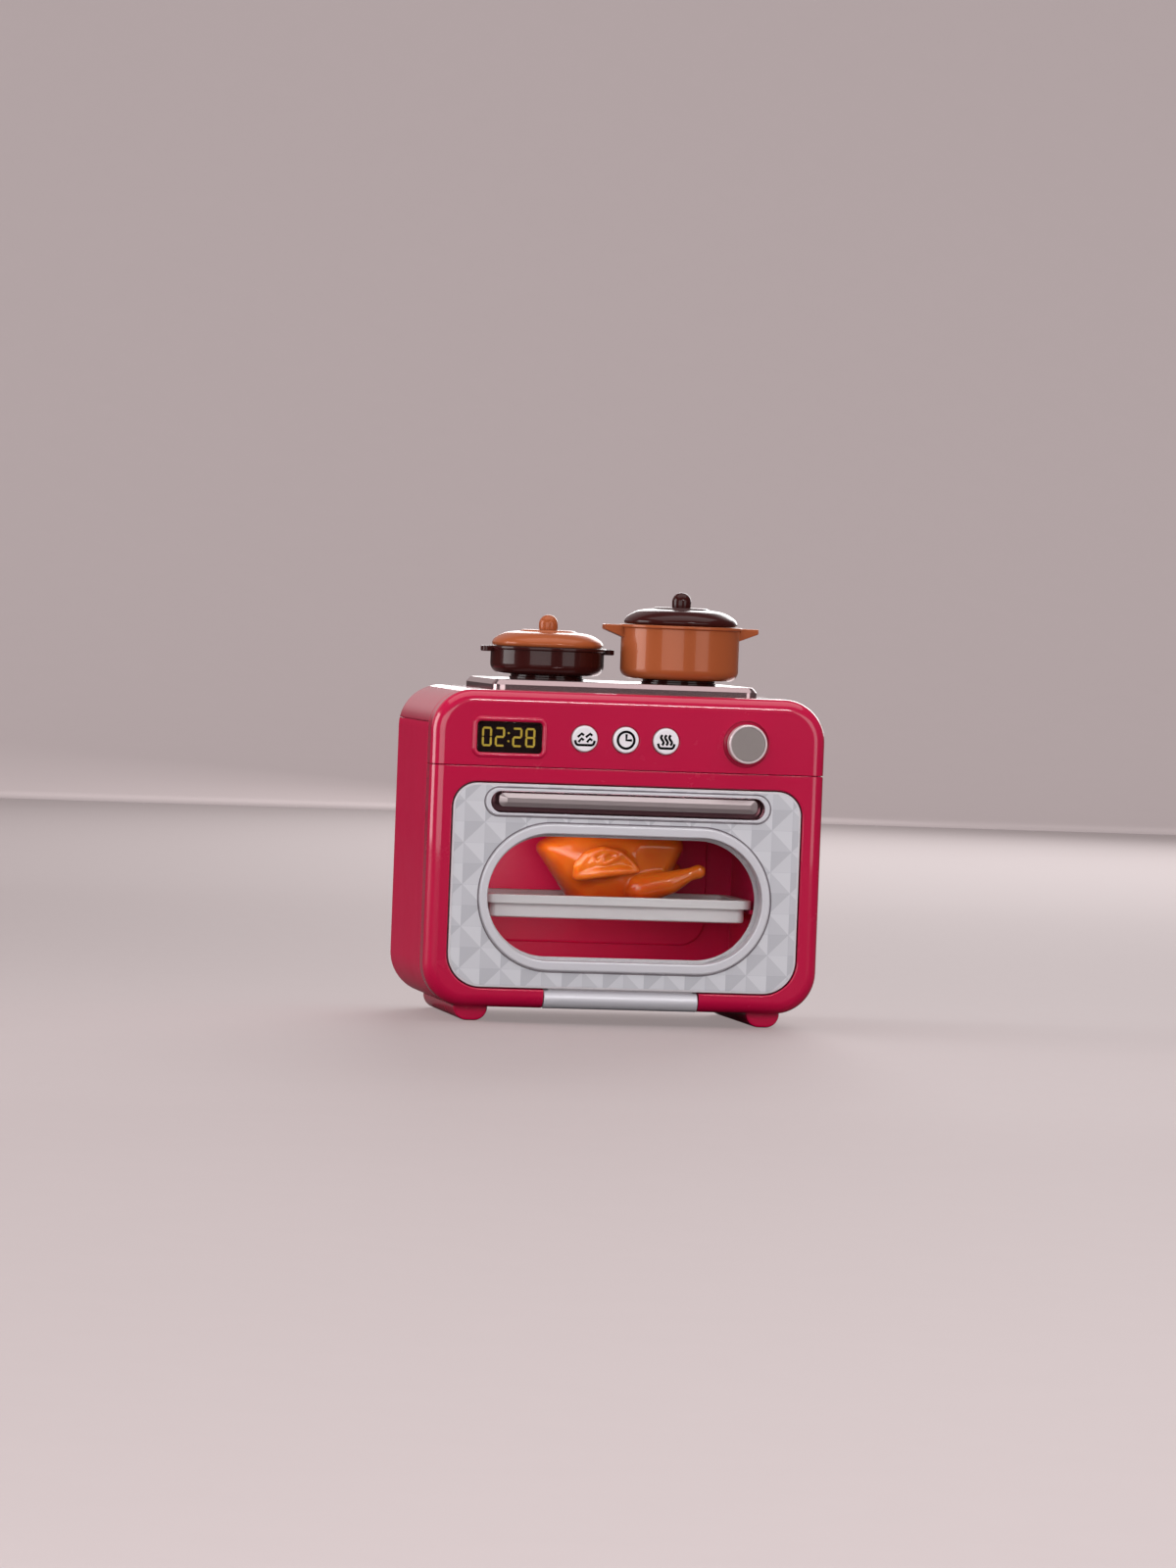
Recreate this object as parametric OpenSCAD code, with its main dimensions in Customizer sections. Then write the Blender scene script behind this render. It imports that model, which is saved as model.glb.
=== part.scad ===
// Toy oven: a pink play oven with a drop-down windowed door, a control panel,
// a hob with a lidded pan and pot, and a toy roast on a sliding tray.
// Millimetres, +Z up, front toward -Y, feet on z = 0.
//
// Every piece is drawn in body coordinates and put in place by body_frame():
// x = 0 is the middle, y = 0 the front face (y grows to the back),
// z = 0 the underside of the body, above the feet.

/* [Body] */
// Width of the body
body_w = 180; // [160:1:200]
// Depth of the body, front face to back
body_d = 100; // [94:1:116]
// Height of the body without its feet
body_h = 142; // [138:1:150]
// Corner radius of the body seen from the front
body_r = 19; // [14:0.5:24]
// Rounding of the body's front edge
edge_r = 6; // [3:0.5:8]
// Wall thickness of the moulded shells
wall = 2.5; // [2:0.1:3]
// Height of the feet
foot_h = 6.5; // [6:0.1:9]
// Depth of the front frame, to the curved seam on the side
frame_d = 14; // [14:0.5:18]
// Height of the seam under the control panel
panel_z = 108; // [106:0.5:112]
// Height of the seam under the top cover
cover_z = 126.5; // [124:0.5:130]

/* [Door] */
// Width of the door
door_w = 159; // [140:1:164]
// Height of the door's lower edge
door_z0 = 9.1; // [9.1:0.1:10]
// Height of the door's upper edge
door_z1 = 100.4; // [96:0.1:101]
// Gap between the door and the frame
door_gap = 0.6; // [0.5:0.05:1]
// Width of the window opening
window_w = 125.5; // [100:0.5:130]
// Height of the window opening
window_h = 57; // [45:0.5:60]
// Height of the window's centre
window_z = 50; // [48:0.5:52]
// Radius of the hinge barrel
barrel_r = 4.35; // [4:0.05:4.6]
// Length of the hinge barrel
barrel_w = 70.3; // [50:0.1:90]
// Radius of the hinge pins
pin_r = 1.5; // [1.2:0.1:2]
// Running clearance of pins and shafts in their holes
run_gap = 0.06; // [0.02:0.01:0.1]

/* [Controls] */
// Height of the row of controls
control_z = 121.5; // [119:0.5:123]
// Diameter of a button cap
button_d = 11.7; // [10:0.1:13]
// Travel of a button
button_travel = 1.2; // [0.8:0.1:1.4]
// Diameter of the knob
knob_d = 17.6; // [14:0.1:19]
// How far the knob stands out of the front face
knob_proud = 4.5; // [3:0.1:6]
// Width of the display glass
display_w = 29.1; // [24:0.1:32]
// Height of the display glass
display_h = 13.2; // [11:0.1:14]

/* [Cavity and tray] */
// Inner width of the cooking cavity
cavity_w = 128; // [120:1:132]
// Height of the cavity floor
cavity_z0 = 12; // [11:0.5:14]
// Height of the cavity ceiling
cavity_z1 = 95; // [90:0.5:97]
// Depth of the cavity's back wall behind the front face
cavity_y1 = 73; // [66:0.5:74]
// Width of the tray over its rim
tray_w = 124; // [116:1:125]
// Depth of the tray over its rim
tray_d = 56; // [48:1:58]

/* [Hob and pots] */
// Width of the hob plate
hob_w = 122; // [110:1:130]
// Depth of the hob plate
hob_d = 77; // [70:1:80]
// Height of the hob plate
hob_h = 4.6; // [4:0.1:6]
// Distance of each burner from the middle of the pair
burner_x = 28.75; // [28.75:0.25:30]
// Depth offset of the pan and pot from the hob's centre
stagger = 10; // [10:0.25:10.5]
// Outer radius of the pan
pan_r = 27; // [24:0.5:27]
// Height of the pan
pan_h = 12.5; // [9:0.5:13]
// Outer radius of the pot
pot_r = 28; // [24:0.5:28]
// Height of the pot
pot_h = 24.5; // [18:0.5:25]

/* [Output] */
// Sub-part to show, or all

/* [Hidden] */
$fn = 96;
front_y = -body_d / 2 + knob_proud / 2;
axis_y = barrel_r;                       // hinge axis, behind the front face
axis_z = barrel_r;                       // hinge axis, above the underside
door_h = door_z1 - door_z0;
door_zc = (door_z0 + door_z1) / 2;
door_rt = 11;                            // door corner radius at the top
door_rb = 15;                            // door corner radius at the bottom
door_back_y = 8;                         // depth of the door's moulded shell
handle_z = 93.15;
cup_z = 92.2;
button_xs = [-21.2, -2.4, 16];
knob_x = 52.9;
display_x = -55.15;
display_z = 121;
cavity_h = cavity_z1 - cavity_z0;
cavity_zc = (cavity_z0 + cavity_z1) / 2;
cavity_y0 = 10;
liner_t = 1.5;
tray_y0 = cavity_y0 + 3.5;
tray_z0 = 39.7;
rim_z0 = 46.4;
rim_z1 = 50.3;
hob_y0 = frame_d + 0.5;
hob_yc = hob_y0 + hob_d / 2;
hob_z1 = body_h + hob_h;
burner_h = 2.2;
burner_z = hob_z1 + burner_h;
lid_h = 7.7;
pots_x = 0.75;                           // middle of the pair of burners
pan_x = pots_x - burner_x;
pan_y = hob_yc + stagger;
pot_x = pots_x + burner_x;
pot_y = hob_yc - stagger;
back_y = body_d;
cell_r = 7.1;
cell_l = 49.2;
cell_xs = [-24, -8, 8];
box_zc = 58;
feet_x = body_w / 2 - 23;
foot_w = 15.6;
feet_y0 = 8;
feet_y1 = body_d - 8;
back_screw_x = body_w / 2 - 12;
pink = [0.93, 0.33, 0.50];
pale = [0.95, 0.94, 0.93];
silver = [0.76, 0.76, 0.78];
dark = [0.20, 0.12, 0.10];
copper = [0.80, 0.48, 0.32];
board = [0.10, 0.36, 0.20];

// ---- helpers ----

module body_frame() translate([0, front_y, foot_h]) children();

// a flat shape in x and z, made solid from y0 toward the back
module along_y(y0, t) translate([0, y0 + t, 0]) rotate([90, 0, 0]) linear_extrude(t) children();

module rod_y(x, z, r, y0, y1) translate([x, y0, z]) rotate([-90, 0, 0]) cylinder(r = r, h = y1 - y0);

module rod_x(y, z, r, x0, x1) translate([x0, y, z]) rotate([0, 90, 0]) cylinder(r = r, h = x1 - x0);

module block(x0, x1, y0, y1, z0, z1) translate([x0, y0, z0]) cube([x1 - x0, y1 - y0, z1 - z0]);

// rounded rectangle with its own corner radius at the top and at the bottom
module round_rect(w, h, rt, rb) {
  translate([-w / 2, -h / 2 + rb]) square([w, h - rt - rb]);
  translate([-w / 2 + rb, -h / 2]) square([w - 2 * rb, rb * 1.01]);
  translate([-w / 2 + rt, h / 2 - rt * 1.01]) square([w - 2 * rt, rt * 1.01]);
  for (s = [-1, 1]) {
    translate([s * (w / 2 - rb), -h / 2 + rb]) circle(rb);
    translate([s * (w / 2 - rt), h / 2 - rt]) circle(rt);
  }
}

module stadium(w, h) {
  square([w - h, h], center = true);
  for (s = [-1, 1]) translate([s * (w - h) / 2, 0]) circle(h / 2);
}

// cross-section of a soft slab: width w, front edge rounded by f, depth t
module soft_section(w, f, t) {
  translate([-w / 2 + f, 0]) square([w - 2 * f, t]);
  translate([-w / 2, f]) square([w, t - f]);
  for (s = [-1, 1]) translate([s * (w / 2 - f), f]) circle(f);
}

// round post or disc along +Z with its lower edge rounded by f
module soft_disc(r, f, t) rotate_extrude() intersection() {
  soft_section(2 * r, f, t);
  square([r + 1, t]);
}

// rounded plate in x and z, front edge rounded by f, depth t toward the back
module soft_slab(w, h, r, f, t) {
  for (sx = [-1, 1], sz = [-1, 1])
    translate([sx * (w / 2 - r), 0, sz * (h / 2 - r)]) rotate([-90, 0, 0]) soft_disc(r, f, t);
  translate([-w / 2 + r, 0, 0]) rotate([90, 0, 90]) linear_extrude(w - 2 * r) slab_run(h, f, t);
  if (h > 2 * r)
    translate([0, 0, -h / 2 + r]) linear_extrude(h - 2 * r) soft_section(w, f, t);
}

// soft section with depth and width swapped
module slab_run(w, f, t) {
  translate([0, -w / 2 + f]) square([t, w - 2 * f]);
  translate([f, -w / 2]) square([t - f, w]);
  for (s = [-1, 1]) translate([f, s * (w / 2 - f)]) circle(f);
}

module front_block() translate([0, 0, body_h / 2]) soft_slab(body_w, body_h, body_r, edge_r, frame_d);

module front_shell() difference() {
  front_block();
  translate([0, wall, body_h / 2])
    soft_slab(body_w - 2 * wall, body_h - 2 * wall, body_r - wall, edge_r - wall, frame_d);
}

// side, back, top and bottom walls behind the front frame
module rear_walls() difference() {
  translate([0, body_d, body_h / 2]) mirror([0, 1, 0])
    soft_slab(body_w, body_h, body_r, 4, body_d - frame_d);
  translate([0, body_d - wall, body_h / 2]) mirror([0, 1, 0])
    soft_slab(body_w - 2 * wall, body_h - 2 * wall, body_r - wall, 1.5, body_d);
}

// the door seen from the front, grown all round, with corners tightened by ease
module door_outline(grow, ease = 0) translate([0, door_zc])
  round_rect(door_w + 2 * grow, door_h + 2 * grow, door_rt + grow - ease, door_rb + grow - ease);

// space that the door's edge sweeps as it drops open
module door_sweep(grow) translate([0, axis_y, axis_z]) rotate([0, 90, 0]) rotate([0, 0, 178])
  rotate_extrude(angle = 96) rotate(-90) translate([0, -axis_z]) door_outline(grow, 0.7);

// ---- housing ----

module front_frame() color(pink) body_frame() difference() {
  intersection() {
    front_block();
    block(-body_w, body_w, -1, frame_d + 1, -1, panel_z);
  }
  // hollow behind the front wall, leaving the lip round the door and the two hinge rails
  difference() {
    translate([0, wall, body_h / 2])
      soft_slab(body_w - 2 * wall, body_h - 2 * wall, body_r - wall, edge_r - wall, frame_d);
    along_y(0, cavity_y0) door_outline(door_gap + 2);
    for (s = [-1, 1]) block(s * 57.5 - 22.5, s * 57.5 + 22.5, 0, cavity_y0, -1, door_z0);
    block(-barrel_w / 2 - 3, barrel_w / 2 + 3, cavity_y0 + 0.6, frame_d + 5, -1, 6.3);
  }
  along_y(-1, cavity_y0 + 3) door_outline(door_gap);
  door_sweep(0.3);
  block(-barrel_w / 2 - 0.4, barrel_w / 2 + 0.4, -1, cavity_y0 + 0.6, -1, 12);
  for (s = [-1, 1]) rod_x(axis_y, axis_z, pin_r + run_gap, s * 40 - 6, s * 40 + 6);
}

module control_panel() color(pink) body_frame() difference() {
  union() {
    intersection() {
      front_shell();
      block(-body_w, body_w, -1, frame_d, panel_z, body_h + 1);
    }
    along_y(-0.8, 3) translate([display_x, display_z]) round_rect(34, 17.3, 3, 3);
    rod_y(knob_x, control_z, 13, 1.5, 4);
    for (s = [-1, 1]) rod_y(s * 75, control_z - 4, 3.4, 1.5, frame_d);
  }
  along_y(-2, 8) translate([display_x, display_z])
    round_rect(display_w + 0.4, display_h + 0.4, 1.4, 1.4);
  for (x = button_xs) {
    rod_y(x, control_z, 6.65, -1, 0.7);
    rod_y(x, control_z, button_d / 2 + 0.3, -1, 6);
  }
  rod_y(knob_x, control_z, 10.65, -1, 1.3);
  rod_y(knob_x, control_z, 3, -1, 6);
}

module top_cover() color(pink) body_frame() {
  intersection() {
    rear_walls();
    block(-body_w, body_w, frame_d, body_d + 1, cover_z, body_h + 1);
  }
}

module side_shell() color(pink) body_frame() difference() {
  union() {
    intersection() {
      rear_walls();
      block(-body_w, body_w, frame_d, body_d + 1, -1, cover_z);
    }
    for (sx = [-1, 1], z = [24, 112]) rod_y(sx * back_screw_x, z, 3.4, 60, body_d - 1);
  }
  block(-68, 68, 22, 90, -1, wall + 1);
  along_y(body_d - wall - 1, wall + 2) translate([-8, box_zc]) round_rect(60, 64, 3, 3);
  for (sx = [-1, 1], z = [24, 112]) rod_y(sx * back_screw_x, z, 2.2, body_d - 3, body_d + 1);
  for (i = [-3:3]) along_y(body_d - wall - 1, wall + 2)
    translate([58, box_zc + i * 4]) stadium(24 - abs(i) * 4, 1.6);
}

module base_plate() color(pink) body_frame() difference() {
  union() {
    block(-67.7, 67.7, 22.3, 89.7, 0.3, wall);
    block(-71, 71, 19, 93, wall, wall + 1.6);
  }
  for (sx = [-1, 1], y = [30, 82]) translate([sx * 60, y, 0]) {
    cylinder(r = 2.2, h = 1.6);
    cylinder(r = 1.05, h = 6);
  }
}

// two long runners with rounded flanks
module feet() color(pink) body_frame() for (sx = [-1, 1])
  translate([sx * feet_x, feet_y1, -foot_h]) rotate([90, 0, 0]) linear_extrude(feet_y1 - feet_y0) intersection() {
    soft_section(foot_w, 5.2, foot_h + 4);
    translate([-foot_w / 2, 0]) square([foot_w, foot_h]);
  }

module base_screws() color(silver) body_frame() for (sx = [-1, 1], y = [30, 82])
  translate([sx * 60, y, 0.5]) difference() {
    union() {
      cylinder(r = 2.1, h = 1.1);
      cylinder(r = 1, h = 3.6);
    }
    for (a = [0, 90]) rotate(a) translate([-1.3, -0.25, -1]) cube([2.6, 0.5, 1.5]);
  }

module back_screws() color(silver) body_frame() for (sx = [-1, 1], z = [24, 112])
  translate([sx * back_screw_x, body_d - 1, z]) rotate([90, 0, 0]) difference() {
    cylinder(r = 2.1, h = 2);
    for (a = [0, 90]) rotate(a) translate([-1.3, -0.25, -1]) cube([2.6, 0.5, 1.6]);
  }

// ---- cooking cavity ----

module cavity_liner() color(pink) body_frame() {
  along_y(cavity_y0, liner_t) difference() {
    door_outline(door_gap + 2);
    translate([0, cavity_zc]) round_rect(cavity_w, cavity_h, 10, 10);
  }
  difference() {
    along_y(cavity_y0, cavity_y1 - cavity_y0) difference() {
      translate([0, cavity_zc])
        round_rect(cavity_w + 2 * liner_t, cavity_h + 2 * liner_t, 10 + liner_t, 10 + liner_t);
      translate([0, cavity_zc]) round_rect(cavity_w, cavity_h, 10, 10);
    }
    translate([0, 42, cavity_z1 - 1]) cylinder(r = 3, h = 5);
  }
}

module cavity_back() color(pink) body_frame() {
  along_y(cavity_y1, liner_t) translate([0, cavity_zc])
    round_rect(cavity_w + 2 * liner_t, cavity_h + 2 * liner_t, 10 + liner_t, 10 + liner_t);
  translate([0, cavity_y1 - 1.8, 56]) soft_slab(104, 60, 12, 1.2, 1.9);
}

module tray_rails() color(pink) body_frame() for (s = [-1, 1])
  block(s * 62.1 - 1.9, s * 62.1 + 1.9, cavity_y0 + 3, cavity_y1, 44.4, rim_z0 - 0.15);

module lamp_board() color(board) body_frame() {
  block(-12, 12, 34, 50, cavity_z1 + liner_t + 2.2, cavity_z1 + liner_t + 3.4);
  translate([0, 42, cavity_z1 - 0.2]) cylinder(r = 2.4, h = 6);
}

module lamp_lens() color([0.98, 0.72, 0.35, 0.6]) body_frame() difference() {
  translate([0, 42, cavity_z1 - 2.2]) soft_disc(8, 1.5, 2.2);
  translate([0, 42, cavity_z1 - 1]) cylinder(r = 6.5, h = 2);
}

// ---- hob ----

module hob_plate() color(silver) body_frame() translate([0, hob_yc, hob_z1]) difference() {
  rotate([-90, 0, 0]) soft_slab(hob_w, hob_d, 6, 2, hob_h);
  translate([0, 0, -1.6]) rotate([-90, 0, 0]) soft_slab(hob_w - 4, hob_d - 4, 4.5, 0.8, hob_h);
}

module burner(x, y) body_frame() translate([x, y, hob_z1]) difference() {
  union() {
    cylinder(r = 17, h = 1);
    cylinder(r = 16.4, h = burner_h);
  }
  translate([0, 0, 1]) cylinder(r = 10.5, h = burner_h);
}

module left_burner() color(dark) burner(pan_x, pan_y);

module right_burner() color(dark) burner(pot_x, pot_y);

// ---- controls ----

module display_lens() color([0.05, 0.05, 0.06, 0.8]) body_frame() difference() {
  union() {
    along_y(0.3, 2.2) translate([display_x, display_z]) round_rect(display_w, display_h, 1.2, 1.2);
    along_y(2.5, 1) translate([display_x, display_z]) round_rect(display_w + 3, display_h + 2.4, 1, 1);
  }
  along_y(1.6, 4) translate([display_x, display_z]) round_rect(display_w - 3, display_h - 3, 1, 1);
}

module display_card() color([0.06, 0.06, 0.07]) body_frame() along_y(3.5, 0.8)
  translate([display_x, display_z]) round_rect(display_w + 3, display_h + 2.4, 1, 1);

// seven-bar digits; bars are listed top, two upper, middle, two lower, bottom
digit_bars = [[1, 1, 1, 0, 1, 1, 1], [1, 0, 1, 1, 1, 0, 1], [1, 0, 1, 1, 1, 0, 1], [1, 1, 1, 1, 1, 1, 1]];

module digit(bars) {
  for (k = [0:2]) if (bars[3 * k]) translate([0, 3.6 - 3.6 * k]) square([2.8, 0.9], center = true);
  for (k = [0:1], s = [0:1]) if (bars[3 * k + 1 + s])
    translate([(2 * s - 1) * 1.75, 1.8 - 3.6 * k]) square([0.9, 2.7], center = true);
}

module display_digits() color([0.98, 0.85, 0.25]) body_frame() along_y(3.2, 0.3)
  translate([display_x, display_z]) {
    for (i = [0:3]) translate([-9.8 + i * 5.9 + (i > 1 ? 2 : 0), 0]) digit(digit_bars[i]);
    for (s = [-1, 1]) translate([0, s * 1.8]) square([1, 1], center = true);
  }

module control_board() color(board) body_frame() difference() {
  block(-40, 70, 12, 13.5, 112, 132);
  rod_y(knob_x, control_z, 4.2, 11, 15);
}

module button_switches() color([0.1, 0.1, 0.11]) body_frame() for (x = button_xs) {
  block(x - 3, x + 3, 10.8, 12, control_z - 3, control_z + 3);
  rod_y(x, control_z, 1.7, 10.4, 10.9);
}

module click_spring() color(silver) body_frame() {
  block(knob_x - 9, knob_x + 9, 8.3, 9.7, control_z + 8.6, control_z + 9.2);
  for (s = [-1, 1]) block(knob_x + s * 8.5 - 0.5, knob_x + s * 8.5 + 0.5, 8.3, 12, control_z + 8.6, control_z + 9.8);
}

module button(x) color(pale) body_frame() {
  translate([x, -1, control_z]) rotate([-90, 0, 0]) soft_disc(button_d / 2, 0.7, 4);
  rod_y(x, control_z, 7, 2.9, 4.1);
  rod_y(x, control_z, 1.5, 4, 9);
}

module button_wave() button(button_xs[0]);

module button_clock() button(button_xs[1]);

module button_steam() button(button_xs[2]);

module knob_disc() color(silver) body_frame() difference() {
  translate([knob_x, -knob_proud, control_z]) rotate([-90, 0, 0])
    cylinder(r = knob_d / 2 - 1.3, h = knob_proud + 0.6);
  rod_y(knob_x, control_z, 2, -knob_proud + 1.5, 3);
}

module knob_ring() color([0.86, 0.86, 0.88]) body_frame() difference() {
  translate([knob_x, -knob_proud + 0.2, control_z]) rotate([-90, 0, 0]) {
    cylinder(r1 = knob_d / 2 - 1.2, r2 = knob_d / 2, h = 1.2);
    translate([0, 0, 1.2]) cylinder(r = knob_d / 2, h = knob_proud - 1.2);
  }
  rod_y(knob_x, control_z, knob_d / 2 - 1.3, -knob_proud - 1, 2);
}

module knob_shaft() color(pale) body_frame() {
  rod_y(knob_x, control_z, 2, -knob_proud + 1.5, 0.6);
  rod_y(knob_x, control_z, 3 - run_gap, 0.6, 14);
}

module click_wheel() color(pale) body_frame() difference() {
  rod_y(knob_x, control_z, 8.2, 7.5, 10.5);
  rod_y(knob_x, control_z, 3 - run_gap, 7, 11);
  for (i = [0:11]) translate([knob_x, 7, control_z]) rotate([0, i * 30 + 15, 0])
    translate([0, 0, 8.6]) rotate([-90, 0, 0]) cylinder(r = 1.1, h = 4);
}

module catch_magnet() color(silver) body_frame() block(-8, 8, wall, 6.5, 103.2, 107);

// ---- power and sound ----

module battery_box() color([0.2, 0.2, 0.21]) body_frame() difference() {
  union() {
    translate([-8, 0, box_zc]) block(-28, 28, cavity_y1 + 6, back_y - wall, -30, 30);
    along_y(back_y - wall - 1.5, 1.5) translate([-8, box_zc]) round_rect(66, 70, 3, 3);
  }
  for (x = cell_xs) rod_z(x, box_zc, cell_r + 0.4, 52.4);
  translate([-8, 0, box_zc]) block(-26, 26, 89, back_y + 1, -26.2, 26.2);
}

module rod_z(x, zc, r, h) translate([x, 89, zc - h / 2]) cylinder(r = r, h = h);

module contact_plates() color(silver) body_frame() for (x = cell_xs, s = [-1, 1])
  translate([x, 89, box_zc + s * 25.9]) cube([11, 9, 0.5], center = true);

module cell(x) body_frame() {
  rod_z(x, box_zc - 0.6, cell_r, cell_l);
  rod_z(x, box_zc + 24.55, 2.7, 1.1);
}

module cell_left() color([0.85, 0.65, 0.2]) cell(cell_xs[0]);

module cell_middle() color([0.85, 0.65, 0.2]) cell(cell_xs[1]);

module cell_right() color([0.85, 0.65, 0.2]) cell(cell_xs[2]);

module battery_door() color(pink) body_frame() difference() {
  along_y(back_y - wall, wall - 0.3) translate([-8, box_zc]) round_rect(59.4, 63.4, 2.7, 2.7);
  rod_y(-8, box_zc + 28, 2, back_y - 1.4, back_y + 1);
  rod_y(-8, box_zc + 28, 1.05, back_y - wall - 1, back_y);
  for (i = [0:3]) block(-18, 2, back_y - 0.9, back_y + 1, box_zc - 26 + i * 3, box_zc - 24.6 + i * 3);
}

module battery_screw() color(silver) body_frame() difference() {
  union() {
    rod_y(-8, box_zc + 28, 1.9, back_y - 1.4, back_y - 0.4);
    rod_y(-8, box_zc + 28, 1, back_y - wall, back_y - 1);
  }
  block(-9.2, -6.8, back_y - 0.8, back_y + 1, box_zc + 27.75, box_zc + 28.25);
  block(-8.25, -7.75, back_y - 0.8, back_y + 1, box_zc + 26.8, box_zc + 29.2);
}

module speaker_basket() color([0.35, 0.35, 0.37]) body_frame() difference() {
  union() {
    rod_y(58, box_zc, 15, back_y - wall - 1.4, back_y - wall);
    rod_y(58, box_zc, 11, back_y - wall - 5, back_y - wall - 1);
    rod_y(58, box_zc, 7, back_y - wall - 9, back_y - wall - 4);
  }
  rod_y(58, box_zc, 13, back_y - wall - 0.8, back_y);
  translate([58, back_y - wall - 4.4, box_zc]) rotate([-90, 0, 0]) cylinder(r1 = 5, r2 = 12, h = 4);
}

module speaker_cone() color([0.12, 0.12, 0.12]) body_frame() difference() {
  translate([58, back_y - wall - 4.4, box_zc]) rotate([-90, 0, 0]) cylinder(r1 = 5, r2 = 12, h = 4);
  translate([58, back_y - wall - 3.9, box_zc]) rotate([-90, 0, 0]) cylinder(r1 = 4.6, r2 = 11.6, h = 4);
}

// ---- door ----

module window_shape(grow) translate([0, window_z]) stadium(window_w + 2 * grow, window_h + 2 * grow);

module cup_shape(w, h) translate([0, cup_z]) stadium(w, h);

module door_panel() color(pale) body_frame() difference() {
  union() {
    along_y(0.3, 2.2) door_outline(0);
    along_y(0.3, door_back_y - 0.3) difference() {
      door_outline(0);
      door_outline(-1.8);
    }
    block(-33, 33, 2.6, 6.2, door_z0 - 1.2, door_z0 + 1);
  }
  along_y(-1, 9) window_shape(1.9);
  along_y(-1, 9) cup_shape(126.4, 10.9);
  rod_x(axis_y, axis_z, barrel_r, -40, 40);
}

// clear printed film laid into the door's front
module facet_film() color([0.88, 0.89, 0.92]) body_frame() along_y(0.1, 0.2) difference() {
  door_outline(-1);
  translate([0, window_z]) stadium(133.4, 66.4);
  cup_shape(130.2, 12.5);
}

module door_back() color(pale) body_frame() difference() {
  along_y(door_back_y, 1.2) door_outline(-1.4);
  along_y(door_back_y - 1, 4) window_shape(-1.5);
  for (sx = [-1, 1], z = [22, 80]) rod_y(sx * 73, z, 1.9, door_back_y + 0.6, door_back_y + 2);
}

module window_bezel() color(silver) body_frame() difference() {
  union() {
    translate([0, -1, window_z]) soft_slab(133, 66, 33, 0.6, 1.3);
    along_y(0.2, 6.3) window_shape(1.8);
  }
  along_y(-3, 12) window_shape(0);
}

module window_pane() color([0.85, 0.9, 0.95, 0.3]) body_frame() along_y(6.5, 1.5) window_shape(1.7);

module handle_cup() color([0.82, 0.82, 0.84]) body_frame() difference() {
  union() {
    along_y(-0.5, 0.8) cup_shape(129.8, 12.1);
    along_y(0.2, 7.4) cup_shape(126.2, 10.7);
  }
  along_y(-1, 7.6) cup_shape(125, 9.5);
}

module handle_bar() color([0.86, 0.86, 0.88]) body_frame() {
  translate([0, -2.8, handle_z]) soft_slab(118, 6.1, 3.05, 1, 3.8);
  for (s = [-1, 1]) block(s * 50 - 3, s * 50 + 3, 0.5, 6.6, handle_z - 2.2, handle_z + 2.2);
}

module hinge_barrel() color(silver) body_frame() difference() {
  rod_x(axis_y, axis_z, barrel_r, -barrel_w / 2, barrel_w / 2);
  for (s = [-1, 1]) rod_x(axis_y, axis_z, pin_r, s * 35 - 7, s * 35 + 7);
}

module hinge_pins() color([0.6, 0.6, 0.62]) body_frame() for (s = [-1, 1])
  rod_x(axis_y, axis_z, pin_r, s * 36.5 - 8.5, s * 36.5 + 8.5);

module door_screws() color([0.5, 0.5, 0.52]) body_frame() for (sx = [-1, 1], z = [22, 80])
  difference() {
    rod_y(sx * 73, z, 1.8, door_back_y + 0.6, door_back_y + 1.4);
    block(sx * 73 - 1.2, sx * 73 + 1.2, door_back_y + 1, door_back_y + 2, z - 0.25, z + 0.25);
    block(sx * 73 - 0.25, sx * 73 + 0.25, door_back_y + 1, door_back_y + 2, z - 1.2, z + 1.2);
  }

// ---- tray and roast ----

module tray_ring(w, d, r, z0, z1) translate([0, tray_y0 + tray_d / 2, z0])
  linear_extrude(z1 - z0) round_rect(w, d, r, r);

module tray() color(silver) body_frame() difference() {
  union() {
    tray_ring(tray_w - 6, tray_d - 6, 5, tray_z0, rim_z1);
    tray_ring(tray_w, tray_d, 7, rim_z0, rim_z1);
  }
  tray_ring(tray_w - 8.4, tray_d - 8.4, 4, tray_z0 + 1.2, rim_z1 + 1);
}

roast_y = tray_y0 + tray_d / 2;
roast_z = tray_z0 + 1.5;

module ball(x, y, z, r) translate([x, y, z]) sphere(r = r, $fn = 32);

module roast() color([0.93, 0.5, 0.18, 0.9]) body_frame() translate([0, roast_y, roast_z]) intersection() {
  union() {
    hull() {
      for (s = [-1, 1]) ball(-16, s * 5, 16.5, 15.5);
      for (s = [-1, 1]) ball(12, s * 6, 19.5, 15);
      ball(0, 0, 22, 18);
    }
    for (s = [-1, 1]) {
      hull() {
        ball(8, s * 12, 15, 9);
        ball(26, s * 11, 19, 5.5);
      }
      hull() {
        ball(26, s * 11, 19, 4);
        ball(36, s * 8, 22, 4);
      }
      hull() {
        ball(-18, s * 16, 20, 5.5);
        ball(2, s * 18, 16, 4.5);
      }
    }
  }
  translate([-60, -40, 0]) cube([120, 80, 60]);
}

// ---- pan and pot ----

module pan() color(dark) body_frame() translate([pan_x, pan_y, burner_z]) difference() {
  union() {
    vessel(pan_r, pan_h);
    for (s = [-1, 1]) translate([s * (pan_r + 0.4), 0, pan_h - 2.7]) linear_extrude(2.5) stadium_h(6.2, 9);
  }
  translate([0, 0, 1.4]) soft_disc(pan_r - 2.5, 3.6, pan_h);
}

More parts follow.
